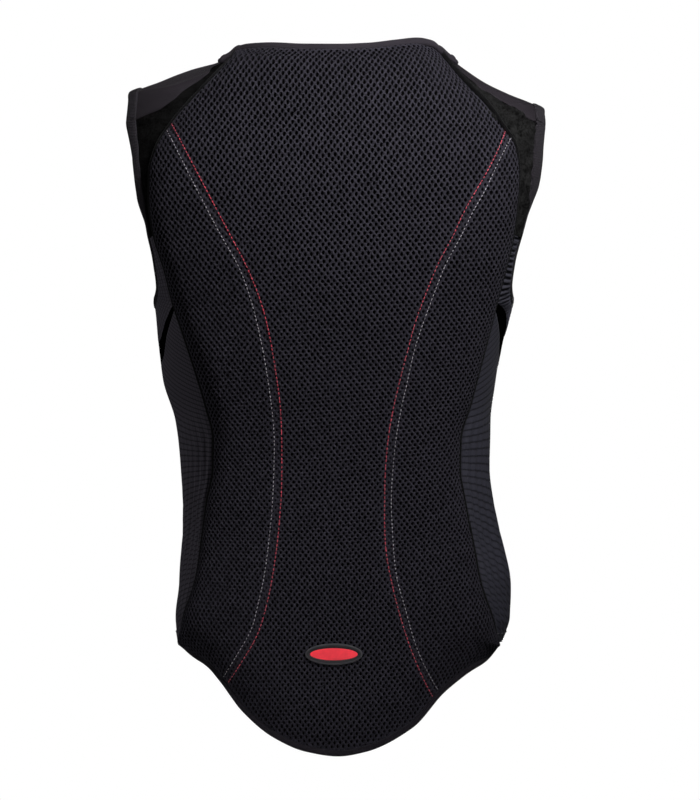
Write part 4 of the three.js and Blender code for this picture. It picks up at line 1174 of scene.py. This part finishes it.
def stitches(name, line, normals, pitch, length, radius, lift, material, seed):
    """A row of stitches laid along a line of points, a little uneven."""
    draw = np.random.default_rng(seed)
    run = arcs(line[:, None], 0)[:, 0]
    count = int(run[-1] / pitch)
    at = (np.arange(count) + 0.5) * pitch + draw.normal(0, 0.08 * pitch, count)
    centre = np.stack([np.interp(at, run, line[:, k]) for k in range(3)], -1)
    normal = unit(np.stack([np.interp(at, run, normals[:, k]) for k in range(3)], -1))
    ahead = np.stack([np.interp(at + 1.0, run, line[:, k]) for k in range(3)], -1)
    behind = np.stack([np.interp(at - 1.0, run, line[:, k]) for k in range(3)], -1)
    along = unit(ahead - behind)
    aside = unit(np.cross(normal, along))
    along = unit(along + aside * draw.normal(0, 0.07, (count, 1)))
    aside = unit(np.cross(normal, along))
    long = length / 2 * draw.normal(1, 0.07, count).clip(0.8, 1.2)
    shape, quads, caps = stitch_shape()
    arch = 1 - shape[:, 0] ** 2
    points = (
        centre[:, None]
        + along[:, None] * (shape[:, 0] * long[:, None])[..., None]
        + aside[:, None] * (shape[:, 1] * radius)[None, :, None]
        + normal[:, None] * (shape[:, 2] * radius * 0.75 + lift + 0.35 * radius * arch)[None, :, None]
    ).reshape(-1, 3)
    offset = np.arange(count)[:, None, None] * len(shape)
    faces = [(quads[None] + offset).reshape(-1, 4), (caps[None] + offset).reshape(-1, 3)]
    return new_piece(name, points, faces, material)


def board_stitches():
    for name, (s, z) in SEAMS.items():
        line = on_pad(s, z, 0.0)
        normal = bilinear(NORMAL, s, z)
        red = name.startswith("red")
        stitches(
            f"stitches_{name}", line, normal, 3.9, 2.9 if red else 2.3, 0.42 if red else 0.34, 0.3,
            RED_THREAD if red else GREY_THREAD, 21 + len(name))


# The cloth pieces -------------------------------------------------------------------------------


def blend_rows(sign, from_angle, from_down, to_angle, to_down, count):
    t = np.linspace(0, 1, count)
    angle = lerp(from_angle[:, None], to_angle[:, None], t)
    down = lerp(from_down[:, None], to_down[:, None], t)
    return sign * angle, down


# How far the yoke reaches in under the board, in radians
YOKE_TUCK = 0.05


def yoke(sign, side):
    fine = 8
    at = np.arange((LAST_SLICE + YOKE_ROWS) * fine + 1) / fine
    board_rows = np.concatenate([SHOULDER_SEAM[:, 4], ARMHOLE_BACK[:YOKE_ROWS, 3]])
    board_down = hermite(np.arange(len(board_rows)), board_rows, at)
    back = shoulder_back(sign, np.minimum(at, LAST_SLICE))
    arm = armhole(sign, np.maximum(at - LAST_SLICE, 0))
    over = at > LAST_SLICE
    to_angle, to_down = np.where(over, arm[0], back[0]), np.where(over, arm[1], back[1])
    under = board_edge_angle(sign, board_down) - YOKE_TUCK
    angle, down = blend_rows(sign, under, board_down, to_angle, to_down, 34)
    points = place(angle, down)
    normals = normals_at(points)
    inward = arcs(points, 1)
    crease = 0.35 if sign < 0 else 1.1
    rise = crease * ripple(points, 22, 31 + sign) * smooth(inward, 4, 10)
    if sign > 0:
        z, x = points[..., 2], points[..., 0]
        for middle, slope, deep, half in ((-52, 0.5, 2.2, 7), (-66, 0.9, 1.8, 6), (-80, 0.4, 1.5, 6), (-99, 0.7, 1.2, 5)):
            rise += deep * hump(z - slope * (x - 160), middle, half) * smooth(inward, 0, 8)
    # The left yoke gets the darker copy of the black cloth as painted shade, the right the lighter copy as painted
    # light.
    black = BLACK_PAINTED_SHADE_LEFT if sign < 0 else BLACK_PAINTED_LIGHT_RIGHT
    cloth(f"yoke_{side}", points, normals, YOKE_THICKNESS, black, rise)


def underarm(sign, side):
    # Both knits here are lighter copies of the right side panel's: painted light.
    knit = RIB_LEFT_PAINTED_LIGHT if sign < 0 else RIB_UNDERARM_PAINTED_LIGHT
    fine = 12
    rows = np.arange(YOKE_ROWS, UNDERARM_START + 1e-6, 1 / fine)
    board_rows = np.concatenate([ARMHOLE_BACK[YOKE_ROWS - 1:, 3], [GUSSET[0, 1]]])
    board_down = hermite(np.arange(len(board_rows)), board_rows, rows - YOKE_ROWS)
    upper = GUSSET[:, 1 if sign < 0 else 3]
    share = np.linspace(0, 1, 80)
    upper_down = hermite(GUSSET[:, 0], upper, share)
    foot_angle = lerp(board_edge_angle(sign, upper_down), front_seam_angle(upper_down), share)
    from_angle = np.concatenate([board_edge_angle(sign, board_down), foot_angle[1:]])
    from_down = np.concatenate([board_down, upper_down[1:]])
    to_angle, to_down = armhole(sign, np.concatenate([rows, lerp(UNDERARM_START, UNDERARM_END, share[1:])]))
    angle, down = blend_rows(sign, from_angle, from_down, to_angle, to_down, 26)
    points = place(angle, down)
    normals = normals_at(points)
    inward = arcs(points, 1)
    width = inward[:, -1:]
    run = arcs(points[:, 18:19], 0)
    inside = smooth(inward, 0, 5) * smooth(width - inward, 0, 4)
    deep = 1.15 if sign > 0 else 0.2
    wavelength = 5.6 if sign > 0 else 9.0
    wander = ripple(points, 30, 41 + sign)
    rise = deep * np.sin(2 * math.pi * run / wavelength + 1.6 * wander + 0.2 * inward) * inside
    weave = np.stack([inward, run + 0 * inward, 0 * inward], -1) if sign > 0 else np.stack(
        [run + 0 * inward, inward, 0 * inward], -1)
    cloth(f"underarm_band_{side}", points, normals, KNIT_THICKNESS, knit, rise, weave)


def gusset(sign, side):
    share = np.linspace(0, 1, 90)
    upper = hermite(GUSSET[:, 0], GUSSET[:, 1 if sign < 0 else 3], share)
    lower = hermite(GUSSET[:, 0], GUSSET[:, 2 if sign < 0 else 4], share)
    down = lerp(upper[:, None], lower[:, None], np.linspace(0, 1, 12))
    angle = sign * lerp(board_edge_angle(sign, down), front_seam_angle(down), share[:, None])
    points = place(angle, down)
    normals = normals_at(points)
    # The gusset's near-black cloth is painted shadow under the arm.
    cloth(f"gusset_{side}", points, normals, YOKE_THICKNESS, BLACK_PAINTED_SHADOW_GUSSET, 0.15 * ripple(points, 14, 51))


def panel_rise(sign, share, down, run, points):
    """Upright folds of a side panel, and the finer gathers beside the board."""
    total = np.zeros_like(down)
    for side, middle, half, start, end, rise in FOLDS:
        if side == sign:
            t = np.clip((down - start) / (end - start), 0, 1)
            total += rise * FOLD_RISE * hump(share, middle, half) * np.sin(math.pi * t) ** 2
    lower = smooth(down, 0.5, 0.6) * (1 - smooth(down, 0.82, 0.845))
    wander = ripple(points, 90, 61 + sign)
    gathers = np.sin(2 * math.pi * run / 10.5 + 1.5 * wander + (0.8 if sign > 0 else 2.4))
    total += 1.7 * gathers * lower * np.exp(-run / 50) * smooth(run, 0, 4)
    return total + 0.4 * ripple(points, 60, 63 + sign) * smooth(run, 0, 10)


HEM_WIDTH = 11.0
HEM_RISE = 0.7


def hem_rise(points, hem_z):
    """The doubled cloth of a turned hem."""
    up = points[..., 2] - hem_z
    return HEM_RISE * (1 - smooth(up, HEM_WIDTH - 1.2, HEM_WIDTH))


def side_panel(sign, side):
    # The left panel's knit is a lighter copy of the right's: painted light.
    knit = RIB_LEFT_PAINTED_LIGHT if sign < 0 else RIB_RIGHT
    rows, columns = 124, 62
    share, t = np.meshgrid(np.linspace(0, 1, columns), np.linspace(0, 1, rows))
    start = hermite(GUSSET[:, 0], GUSSET[:, 2 if sign < 0 else 4], share)
    down = lerp(start, lerp(SIDE_HEM, FRONT_HEM, share), t)
    angle = sign * lerp(board_edge_angle(sign, down), front_seam_angle(down), share)
    points = place(angle, down)
    normals = normals_at(points)
    run = arcs(points, 1)
    rise = panel_rise(sign, share, down, run, points) + hem_rise(points, points[-1:, :, 2])
    slant = np.interp(down, [0.37, 0.84], [0.65, -0.75])
    weave = np.stack([run, points[..., 2] - slant * run, 0 * run], -1)
    cloth(f"side_panel_{side}", points, normals, KNIT_THICKNESS, knit, rise, weave)
    up = 9.0 / BACK_LENGTH
    line_share = np.linspace(0.01, 0.99, 160)
    line_down = lerp(SIDE_HEM, FRONT_HEM, line_share) - up
    line_angle = sign * lerp(board_edge_angle(sign, line_down), front_seam_angle(line_down), line_share)
    line = place(line_angle, line_down)
    normal = normals_at(line)
    lift = panel_rise(sign, line_share, line_down, arcs(line[:, None], 0)[:, 0], line) + HEM_RISE + KNIT_THICKNESS
    stitches(f"hem_stitches_{side}", line + normal * lift[:, None], normal, 3.2, 2.4, 0.32, 0.1, DARK_THREAD, 71 + sign)


def shoulder(sign, side):
    slices = np.linspace(0, LAST_SLICE, 60)
    points = over_shoulder(sign, slices, np.linspace(0, 1, 64))
    normals = normals_at(points)
    across = arcs(points, 1)
    along = arcs(points, 0)
    inside = smooth(across, 0, 6) * smooth(across[:, -1:] - across, 0, 6)
    rise = 0.35 * ripple(points, 34, 81 + sign) * inside
    if sign > 0:
        rise += 1.3 * hump(across - 0.12 * along, 9, 5) * smooth(along, 18, 45) * inside
    else:
        rise += 0.7 * hump(across - 0.5 * along, -12, 6) * inside
    weave = np.stack([along, across, 0 * across], -1)
    cloth(f"shoulder_{side}", points, normals, CLOTH_THICKNESS, SMOOTH, rise, weave)
    return points, normals


def front_grid(sign):
    """The front's places, from the neckline and shoulder seam down, and from the zip outward."""
    neck_angle = angle_at(sign, NECKLINE[::-1, 0], NECKLINE[::-1, 1], True)
    shoulder_angle, shoulder_down = shoulder_front(sign, np.arange(LAST_SLICE + 1.0))
    top_angle = np.concatenate([[zip_angle(sign, NECKLINE_FOOT)], neck_angle, shoulder_angle])
    top_down = np.concatenate([[NECKLINE_FOOT], NECKLINE[::-1, 1], shoulder_down])
    rows = np.linspace(UNDERARM_END, ARMHOLE_END, 15)[::-1]
    edge_angle, edge_down = armhole(sign, rows)
    below = lerp(edge_down[-1], FRONT_HEM, np.arange(1, 10) / 9)
    outer_angle = np.concatenate([edge_angle, front_seam_angle(below)])
    outer_down = np.concatenate([edge_down, below])
    share = (outer_down - outer_down[0]) / (FRONT_HEM - outer_down[0])
    down = lerp(top_down[None], FRONT_HEM, share[:, None])
    start_zip = zip_angle(sign, top_down)
    start_outer = hermite(outer_down, outer_angle, top_down)
    across = (top_angle - start_zip) / (start_outer - start_zip)
    angle = lerp(zip_angle(sign, down), hermite(outer_down, outer_angle, down), across[None])
    angle[:, -1], down[:, -1] = outer_angle, outer_down
    coarse = np.stack([angle, down], -1)
    fine_rows = np.linspace(0, len(outer_down) - 1, 110)
    fine_columns = np.linspace(0, len(top_angle) - 1, 60)
    tall = hermite(np.arange(len(outer_down)), coarse, fine_rows)
    wide = hermite(np.arange(len(top_angle)), np.swapaxes(tall, 0, 1), fine_columns)
    both = np.swapaxes(wide, 0, 1)
    return sign * both[..., 0], both[..., 1]


def front(sign, side):
    angle, down = front_grid(sign)
    points = place(angle, down)
    normals = normals_at(points)
    run = arcs(points, 1)
    edge = smooth(run, 0, 8) * smooth(run[:, -1:] - run, 0, 8)
    rise = 0.6 * ripple(points, 110, 91 + sign) * edge + 0.25 * ripple(points, 35, 93 + sign) * edge
    rise = rise + hem_rise(points, points[-1:, :, 2])
    cloth(f"front_{side}", points, normals, CLOTH_THICKNESS, SMOOTH, rise)
    lift = CLOTH_THICKNESS + rise
    outer = points + normals * lift[..., None]
    steps = np.abs(points[:, 40, 2] - points[-1, 40, 2] - 9.0)
    row = int(steps.argmin())
    stitches(f"front_hem_stitches_{side}", outer[row], normals[row], 3.2, 2.4, 0.3, 0.05, DARK_THREAD, 95 + sign)
    column = int(np.abs(run[75] - 3.5).argmin())
    stitches(f"zip_seam_stitches_{side}", outer[:, column], normals[:, column], 3.0, 2.2, 0.3, 0.05, DARK_THREAD, 97 + sign)


# Edge bands -------------------------------------------------------------------------------------


def band(name, points, normals, target, size, material, closed=False, nodes=(), power=3.2, start=-1.2, scale=None):
    aside = line_frames(points, normals, np.asarray(target, float), closed)
    profile = rounded_profile(size[0], size[1], power=power, start=start)
    piece = sweep(name, points, normals, aside, profile, material, closed, scale, nodes)
    length = arcs(points[:, None], 0)[-1, 0]
    return piece


# Rows of the armhole between which its binding narrows, left and right
ARM_NARROWS = ((2.8, 4.4), (2.3, 3.9))


def armhole_band(sign, side, shoulder_points):
    rows = np.linspace(0, ARMHOLE_END, 300)
    back = armhole(sign, rows)
    seam = place(sign * back[0], back[1])
    over = shoulder_points[-1, 1:-1][::-1]
    loop = np.concatenate([seam, over])
    low, high = ARM_NARROWS[0 if sign < 0 else 1]
    narrow = 1 - 0.62 * smooth(rows, low, high) * (1 - smooth(rows, 9, 12))
    if sign < 0:
        narrow *= np.interp(rows, [0, 1.2, 3], [1.25, 0.85, 1])
        over_scale = np.linspace(1.0, 1.25, len(over))
    else:
        narrow *= np.interp(rows, [0, 2, 3], [1.25, 1.25, 1])
        over_scale = np.linspace(1.0, 1.25, len(over))
    scale = np.concatenate([narrow, over_scale])
    normals = normals_at(loop)
    for _ in range(3):
        normals = unit(np.roll(normals, 1, 0) + 2 * normals + np.roll(normals, -1, 0))
    band(f"armhole_binding_{side}", loop, normals, loop.mean(0), ARM_BINDING, TAPE, True, [f"armhole_binding_{side}"], scale=scale)


def neck_band(sign, side, shoulder_points, shoulder_normals):
    first = shoulder_points[0]
    run = arcs(first[:, None], 0)[:, 0]
    begin = int(np.argmax(run > NECK_BINDING[0] + 1.5))
    angle = np.concatenate([
        angle_at(sign, NECKLINE[:, 0], NECKLINE[:, 1], True),
        [angle_at(sign, (ZIP_WIDTH + 1.4) / (2 * HALF_WIDTH), NECKLINE_FOOT, True)],
    ])
    down = np.concatenate([NECKLINE[:, 1], [NECKLINE_FOOT]])
    start = shoulder_front(sign, 0.0)
    angle, down = np.concatenate([[start[0]], angle]), np.concatenate([[start[1]], down])
    both = hermite(np.arange(len(angle)), np.stack([angle, down], -1), np.linspace(0, len(angle) - 1, 90))
    line = np.concatenate([first[begin:-1], place(sign * both[:, 0], both[:, 1])])
    band(f"neck_binding_{side}", line, normals_at(line), (0, 0, 0), NECK_BINDING, COLLAR, nodes=[f"neck_binding_{side}"], power=2.6)


def nape_line():
    """The nape's edge, on past the board's corners to the shoulders."""
    corners = []
    for sign in (-1, 1):
        corner = on_board(float(sign), BOARD_TOP)
        end = shoulder_back(sign, 0.0)
        p, q = place(*corner), place(sign * end[0], end[1])
        t = 1 - 2 * NECK_BINDING[0] / np.linalg.norm(p - q)
        steps = np.linspace(0, t, 6)[1:]
        corners.append(place(lerp(corner[0], sign * end[0], steps), lerp(corner[1], end[1], steps)))
    top = on_board(np.linspace(-1, 1, 160), BOARD_TOP)
    return np.concatenate([corners[0][::-1], place(*top), corners[1]])


def nape_band():
    line = nape_line()
    band("neck_binding_back", line, normals_at(line), (0, 0, BACK_LENGTH), NECK_BINDING, COLLAR, nodes=["neck_binding_back"], power=2.6, start=-2.2)


def tail_band():
    foot = on_board(np.linspace(-1, 1, 200), BOARD_FOOT)
    line = place(*foot)
    t = np.linspace(0, 1, 200)
    scale = lerp(0.25, 1, smooth(np.minimum(t, 1 - t), 0, 0.06)) * lerp(0.85, 1, t)
    band("tail_binding", line, normals_at(line), (0, 0, -2 * BACK_LENGTH), TAIL_BINDING, TAIL_TAPE, nodes=["tail_binding"], power=2.6, scale=scale)


def edge_piping_and_painted_shadow():
    """Dark piping along the board's two long edges: sewn piping along the upper diagonals, and down the sides the same
    near-black tube as painted shadow between the board and the side panels.
    """
    edge = np.linspace(BOARD_TOP, BOARD_FOOT, 260)
    for sign, side in SIDES:
        angle, down = on_board(float(sign), edge)
        line = place(angle, down)
        normals = normals_at(line)
        aside = line_frames(line, normals, np.array([0.0, 2 * BACK_LENGTH, -BACK_LENGTH / 2]), False)
        profile = rounded_profile(2.5, 6.0, 12, 2.2, -2.0)
        scale = 1 - 0.75 * smooth(edge, 0.8, BOARD_FOOT)
        piece = sweep(f"edge_piping_and_painted_shadow_{side}", line, normals, aside, profile, PIPING_AND_PAINTED_SHADOW, scale=scale)
        arcs(line[:, None], 0)[-1, 0]


# Rounded outline of the folded ends: width, thickness, and start under the edge
TAB_PROFILE = (6.4, 6.2, -3.0)


def neck_tab(sign, side, shoulder_points):
    """The folded end of the front neck binding, over its joint with the nape's."""
    nape = nape_line()
    nape = nape if sign > 0 else nape[::-1]
    first = shoulder_points[0]
    begin = int(np.argmax(arcs(first[:, None], 0)[:, 0] > NECK_BINDING[0] + 4))
    rough = np.concatenate([nape[-9:], first[2:begin + 1]])
    run = arcs(rough[:, None], 0)[:, 0]
    even = np.linspace(0, run[-1], 26)
    line = np.stack([np.interp(even, run, rough[:, k]) for k in range(3)], -1)
    for _ in range(3):
        line[1:-1] = (line[:-2] + 2 * line[1:-1] + line[2:]) / 4
    normals = normals_at(line)
    aside = line_frames(line, normals, np.array([0.0, 0.0, BACK_LENGTH]), False)
    width, thickness, start = TAB_PROFILE
    profile = rounded_profile(width, thickness, 20, 2.6, start)
    t = np.linspace(-1, 1, len(line))
    scale = (1 - np.abs(t) ** 5) * 0.5 + 0.5
    piece = sweep(f"neck_tab_{side}", line, normals, aside, profile, COLLAR, scale=scale)


# Badge and zip ----------------------------------------------------------------------------------

# Rings of the badge from the middle out: share of the way, inset from the rim, rise, material index
BADGE_RINGS = (
    (0.35, 4.6, 0.35, 0), (0.7, 4.6, 0.3, 0), (0.93, 4.6, 0.15, 0), (1.0, 4.6, -0.05, 0), (1.0, 4.1, 0.05, 1),
    (1.0, 3.7, 0.7, 1), (1.0, 3.3, 0.85, 1), (1.0, 1.5, 0.85, 1), (1.0, 1.15, 0.8, 2), (1.0, 0.45, 0.75, 2),
    (1.0, 0.1, 0.4, 2), (1.0, 0.0, -0.3, 1), (1.0, 0.05, -2.2, 1),
)
BADGE_SEAT = 1.9


def badge():
    """A plain moulded oval: ribbed red face, dark raised rim and a thin grey edge."""
    sides = 96
    angle = np.arange(sides) / sides * 2 * math.pi
    centre_z = height(BADGE_DOWN)
    points, which = [], []
    for share, inset, rise, index in BADGE_RINGS:
        x = share * (BADGE_HALF[0] - inset) * np.cos(angle) - BADGE_LEFT
        z = share * (BADGE_HALF[1] - inset) * np.sin(angle) + centre_z
        s, _ = seam_free(x, z)
        points.append(on_pad(s, z, rise + BADGE_SEAT))
        which.append(index)
    s, _ = seam_free(np.array([-BADGE_LEFT]), np.array([centre_z]))
    points.append(on_pad(s, np.array([centre_z]), 0.4 + BADGE_SEAT))
    points = np.concatenate(points)
    quads = grid_quads(len(BADGE_RINGS), sides, wrap=True)
    first = np.arange(sides)
    fan = np.stack([np.roll(first, -1), first, np.full(sides, len(points) - 1)], -1)
    face_material = np.concatenate([np.repeat(which[1:], sides), np.zeros(sides)])
    quads, fan = quads[:, ::-1], fan[:, ::-1]
    a, b, c = points[fan[0]]
    if np.cross(b - a, c - a)[1] > 0:
        quads, fan = quads[:, ::-1], fan[:, ::-1]
    piece = new_piece("badge_face", points, [quads, fan], [BADGE_RED, BADGE_DARK, BADGE_EDGE], None, face_material)
    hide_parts("badge")


def seam_free(x, z):
    """Arc length on the pad of a place given by x and height."""
    low, high = np.full(len(x), -240.0), np.full(len(x), 240.0)
    for _ in range(30):
        s = (low + high) / 2
        less = on_pad(s, z, 0.0)[..., 0] < x
        low, high = np.where(less, s, low), np.where(less, high, s)
    return s, z


def bevelled_box(name, size, matrix, bevel, material, taper=1.0):
    made = bmesh.new()
    bmesh.ops.create_cube(made, size=1)
    for v in made.verts:
        v.co.x *= size[0] * (taper if v.co.y < 0 else 1)
        v.co.y *= size[1]
        v.co.z *= size[2]
    bmesh.ops.bevel(made, geom=list(made.edges), offset=bevel, segments=3, affect="EDGES", profile=0.5)
    bmesh.ops.transform(made, matrix=matrix, verts=made.verts)
    bmesh.ops.scale(made, vec=(MM, MM, MM), verts=made.verts)
    mesh = bpy.data.meshes.new(name)
    made.to_mesh(mesh)
    made.free()
    for polygon in mesh.polygons:
        polygon.use_smooth = True
    mesh.materials.append(material)
    piece = bpy.data.objects.new(name, mesh)
    bpy.context.scene.collection.objects.link(piece)
    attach(piece, BODY)
    return piece


def front_frame(down):
    p = place(math.pi, down)
    n = normals_at(p[None])[0]
    aside = np.array([1.0, 0, 0])
    along = np.cross(n, aside)
    return p, n, aside, along


ZIP_TOP = NECKLINE_FOOT - NECK_BINDING[0] / BACK_LENGTH
TOOTH_PITCH = 2.6


def zip_closure():
    """Woven tapes, two rows of moulded teeth, a slider and its pull."""
    down = np.linspace(ZIP_TOP, FRONT_HEM, 220)
    line = place(np.full(len(down), math.pi), down)
    normals = normals_at(line)
    aside = np.repeat([[1.0, 0, 0]], len(down), 0)
    half = ZIP_WIDTH / 2 - 0.35
    outline = np.array([
        [-half, 0], [0, 0], [half, 0], [half, ZIP_TAPE * 0.8], [half - 0.5, ZIP_TAPE],
        [5.2, ZIP_TAPE], [4.4, ZIP_TAPE * 1.25], [3.4, ZIP_TAPE * 1.3], [2.4, ZIP_TAPE * 1.1],
        [-2.4, ZIP_TAPE * 1.1], [-3.4, ZIP_TAPE * 1.3], [-4.4, ZIP_TAPE * 1.25], [-5.2, ZIP_TAPE],
        [-half + 0.5, ZIP_TAPE], [-half, ZIP_TAPE * 0.8],
    ])
    sweep("zip_tape", line, normals, aside, outline, ZIP_CLOTH, nodes=["zip"])
    run = arcs(line[:, None], 0)[:, 0]
    count = int(run[-1] / (TOOTH_PITCH / 2)) - 2
    at = (np.arange(count) + 1) * TOOTH_PITCH / 2
    centre = np.stack([np.interp(at, run, line[:, k]) for k in range(3)], -1)
    normal = unit(np.stack([np.interp(at, run, normals[:, k]) for k in range(3)], -1))
    along = unit(np.cross(normal, [1.0, 0, 0]))
    reach = np.where(np.arange(count) % 2 == 0, 1.0, -1.0)
    shape = np.array([
        [-0.9, -0.5, 0], [3.0, -0.62, 0], [3.0, 0.62, 0], [-0.9, 0.5, 0],
        [-0.6, -0.4, 1], [2.7, -0.5, 1], [2.7, 0.5, 1], [-0.6, 0.4, 1],
    ])
    base, top = ZIP_TAPE * 0.9, ZIP_TEETH_RISE
    points = (
        centre[:, None]
        + np.array([1.0, 0, 0]) * (shape[:, 0] * reach[:, None])[..., None]
        + along[:, None] * shape[None, :, 1:2]
        + normal[:, None] * lerp(base, top, shape[:, 2])[None, :, None]
    ).reshape(-1, 3)
    quads = np.array([[3, 2, 1, 0], [4, 5, 6, 7], [0, 1, 5, 4], [1, 2, 6, 5], [2, 3, 7, 6], [3, 0, 4, 7]])
    offset = np.arange(count)[:, None, None] * len(shape)
    faces = quads[None] + offset
    flipped = faces[..., ::-1]
    faces = np.where((reach < 0)[:, None, None], flipped, faces).reshape(-1, 4)
    new_piece("zip_teeth", points, [faces], ZIP_PLASTIC, flat=True)

    def block(name, width, length, thickness, from_down, lift, bevel, material, taper=1.0):
        p, n, a, u = front_frame(from_down + length / 2 / BACK_LENGTH)
        basis = Matrix((
            (a[0], u[0], n[0], p[0] + n[0] * (lift + thickness / 2)),
            (a[1], u[1], n[1], p[1] + n[1] * (lift + thickness / 2)),
            (a[2], u[2], n[2], p[2] + n[2] * (lift + thickness / 2)),
            (0, 0, 0, 1),
        ))
        return bevelled_box(name, (width, length, thickness), basis, bevel, material, taper)

    slider = ZIP_TOP + 8 / BACK_LENGTH
    block("zip_slider_top", 9, 13, 1.2, slider, 2.9, 0.5, ZIP_PLASTIC, 0.75)
    block("zip_slider_bridge", 2.6, 8, 2.4, slider + 1 / BACK_LENGTH, 3.6, 0.5, ZIP_PLASTIC)
    block("zip_pull", 6, 26, 1.6, slider + 9 / BACK_LENGTH, 4.2, 0.6, ZIP_PLASTIC, 0.8)
    block("zip_pull_grip", 7, 13, 2.4, slider + 22 / BACK_LENGTH, 3.8, 0.9, ZIP_CLOTH, 0.9)


# Assembly ---------------------------------------------------------------------------------------

core = board_core()
mesh_net()
board_stitches()
edge_piping_and_painted_shadow()
nape_band()
tail_band()
badge()
zip_closure()
for sign, side in SIDES:
    yoke(sign, side)
    underarm(sign, side)
    gusset(sign, side)
    side_panel(sign, side)
    shoulder_points, shoulder_normals = shoulder(sign, side)
    front(sign, side)
    armhole_band(sign, side, shoulder_points)
    neck_band(sign, side, shoulder_points, shoulder_normals)
    neck_tab(sign, side, shoulder_points)

# Stage ------------------------------------------------------------------------------------------

FLOOR_Z = -0.92
FLOOR_RADIUS = 4.2


def floor():
    made = bmesh.new()
    bmesh.ops.create_circle(made, cap_ends=True, segments=96, radius=FLOOR_RADIUS)
    mesh = bpy.data.meshes.new("floor")
    made.to_mesh(mesh)
    made.free()
    mesh.materials.append(floor_material())
    piece = bpy.data.objects.new("floor", mesh)
    piece.location = (0, 0, FLOOR_Z)
    piece.visible_diffuse = False
    piece.visible_glossy = False
    bpy.context.scene.collection.objects.link(piece)


def area_light(name, place_m, target, size, power, spread=180):
    data = bpy.data.lights.new(name, "AREA")
    data.shape = "DISK"
    data.size = size
    data.energy = power
    data.spread = math.radians(spread)
    light = bpy.data.objects.new(name, data)
    light.visible_camera = False
    light.location = place_m
    light.rotation_euler = (Vector(target) - Vector(place_m)).to_track_quat("-Z", "Y").to_euler()
    bpy.context.scene.collection.objects.link(light)


floor()
MIDDLE = (0.0, 0.0, -0.3)
# The paper behind is white, while the room itself gives only this much light
ROOM_LIGHT = 0.05
area_light("key", (0.62, -1.1, 0.82), (0.03, -0.1, -0.07), 0.4, 3.0, spread=41)
area_light("side_light", (2.2, -1.4, 0.1), MIDDLE, 1.0, 3.4)
area_light("fill", (-2.6, -0.3, 0.2), MIDDLE, 1.2, 17)
area_light("low_fill", (0.05, -1.0, -0.86), (0, -0.1, -0.69), 0.3, 0.13, spread=26)
area_light("front_fill", (0.1, 3.0, -0.85), MIDDLE, 1.0, 40, spread=60)

world = bpy.data.worlds.new("white_room")
world.use_nodes = True
sky = world.node_tree.nodes["Background"]
sky.inputs["Color"].default_value = (1, 1, 1, 1)
seen = world.node_tree.nodes.new("ShaderNodeLightPath")
level = world.node_tree.nodes.new("ShaderNodeMapRange")
level.inputs["To Min"].default_value = ROOM_LIGHT
level.inputs["To Max"].default_value = 1.0
world.node_tree.links.new(seen.outputs["Is Camera Ray"], level.inputs["Value"])
world.node_tree.links.new(level.outputs[0], sky.inputs["Strength"])
bpy.context.scene.world = world
bpy.context.scene.view_settings.view_transform = "Standard"

CAMERA_AWAY = 12.0
REFERENCE_Y = -0.06
data = bpy.data.cameras.new("camera")
data.sensor_width = 36
data.lens = data.sensor_width * CAMERA_AWAY / (IMAGE_SIZE[1] * PIXEL * MM)
data.clip_end = 100
camera = bpy.data.objects.new("camera", data)
camera.location = (
    (IMAGE_SIZE[0] / 2 - ORIGIN_PX[0]) * PIXEL * MM,
    REFERENCE_Y - CAMERA_AWAY,
    (ORIGIN_PX[1] - IMAGE_SIZE[1] / 2) * PIXEL * MM,
)
camera.rotation_euler = (math.pi / 2, 0, 0)
bpy.context.scene.collection.objects.link(camera)
bpy.context.scene.camera = camera
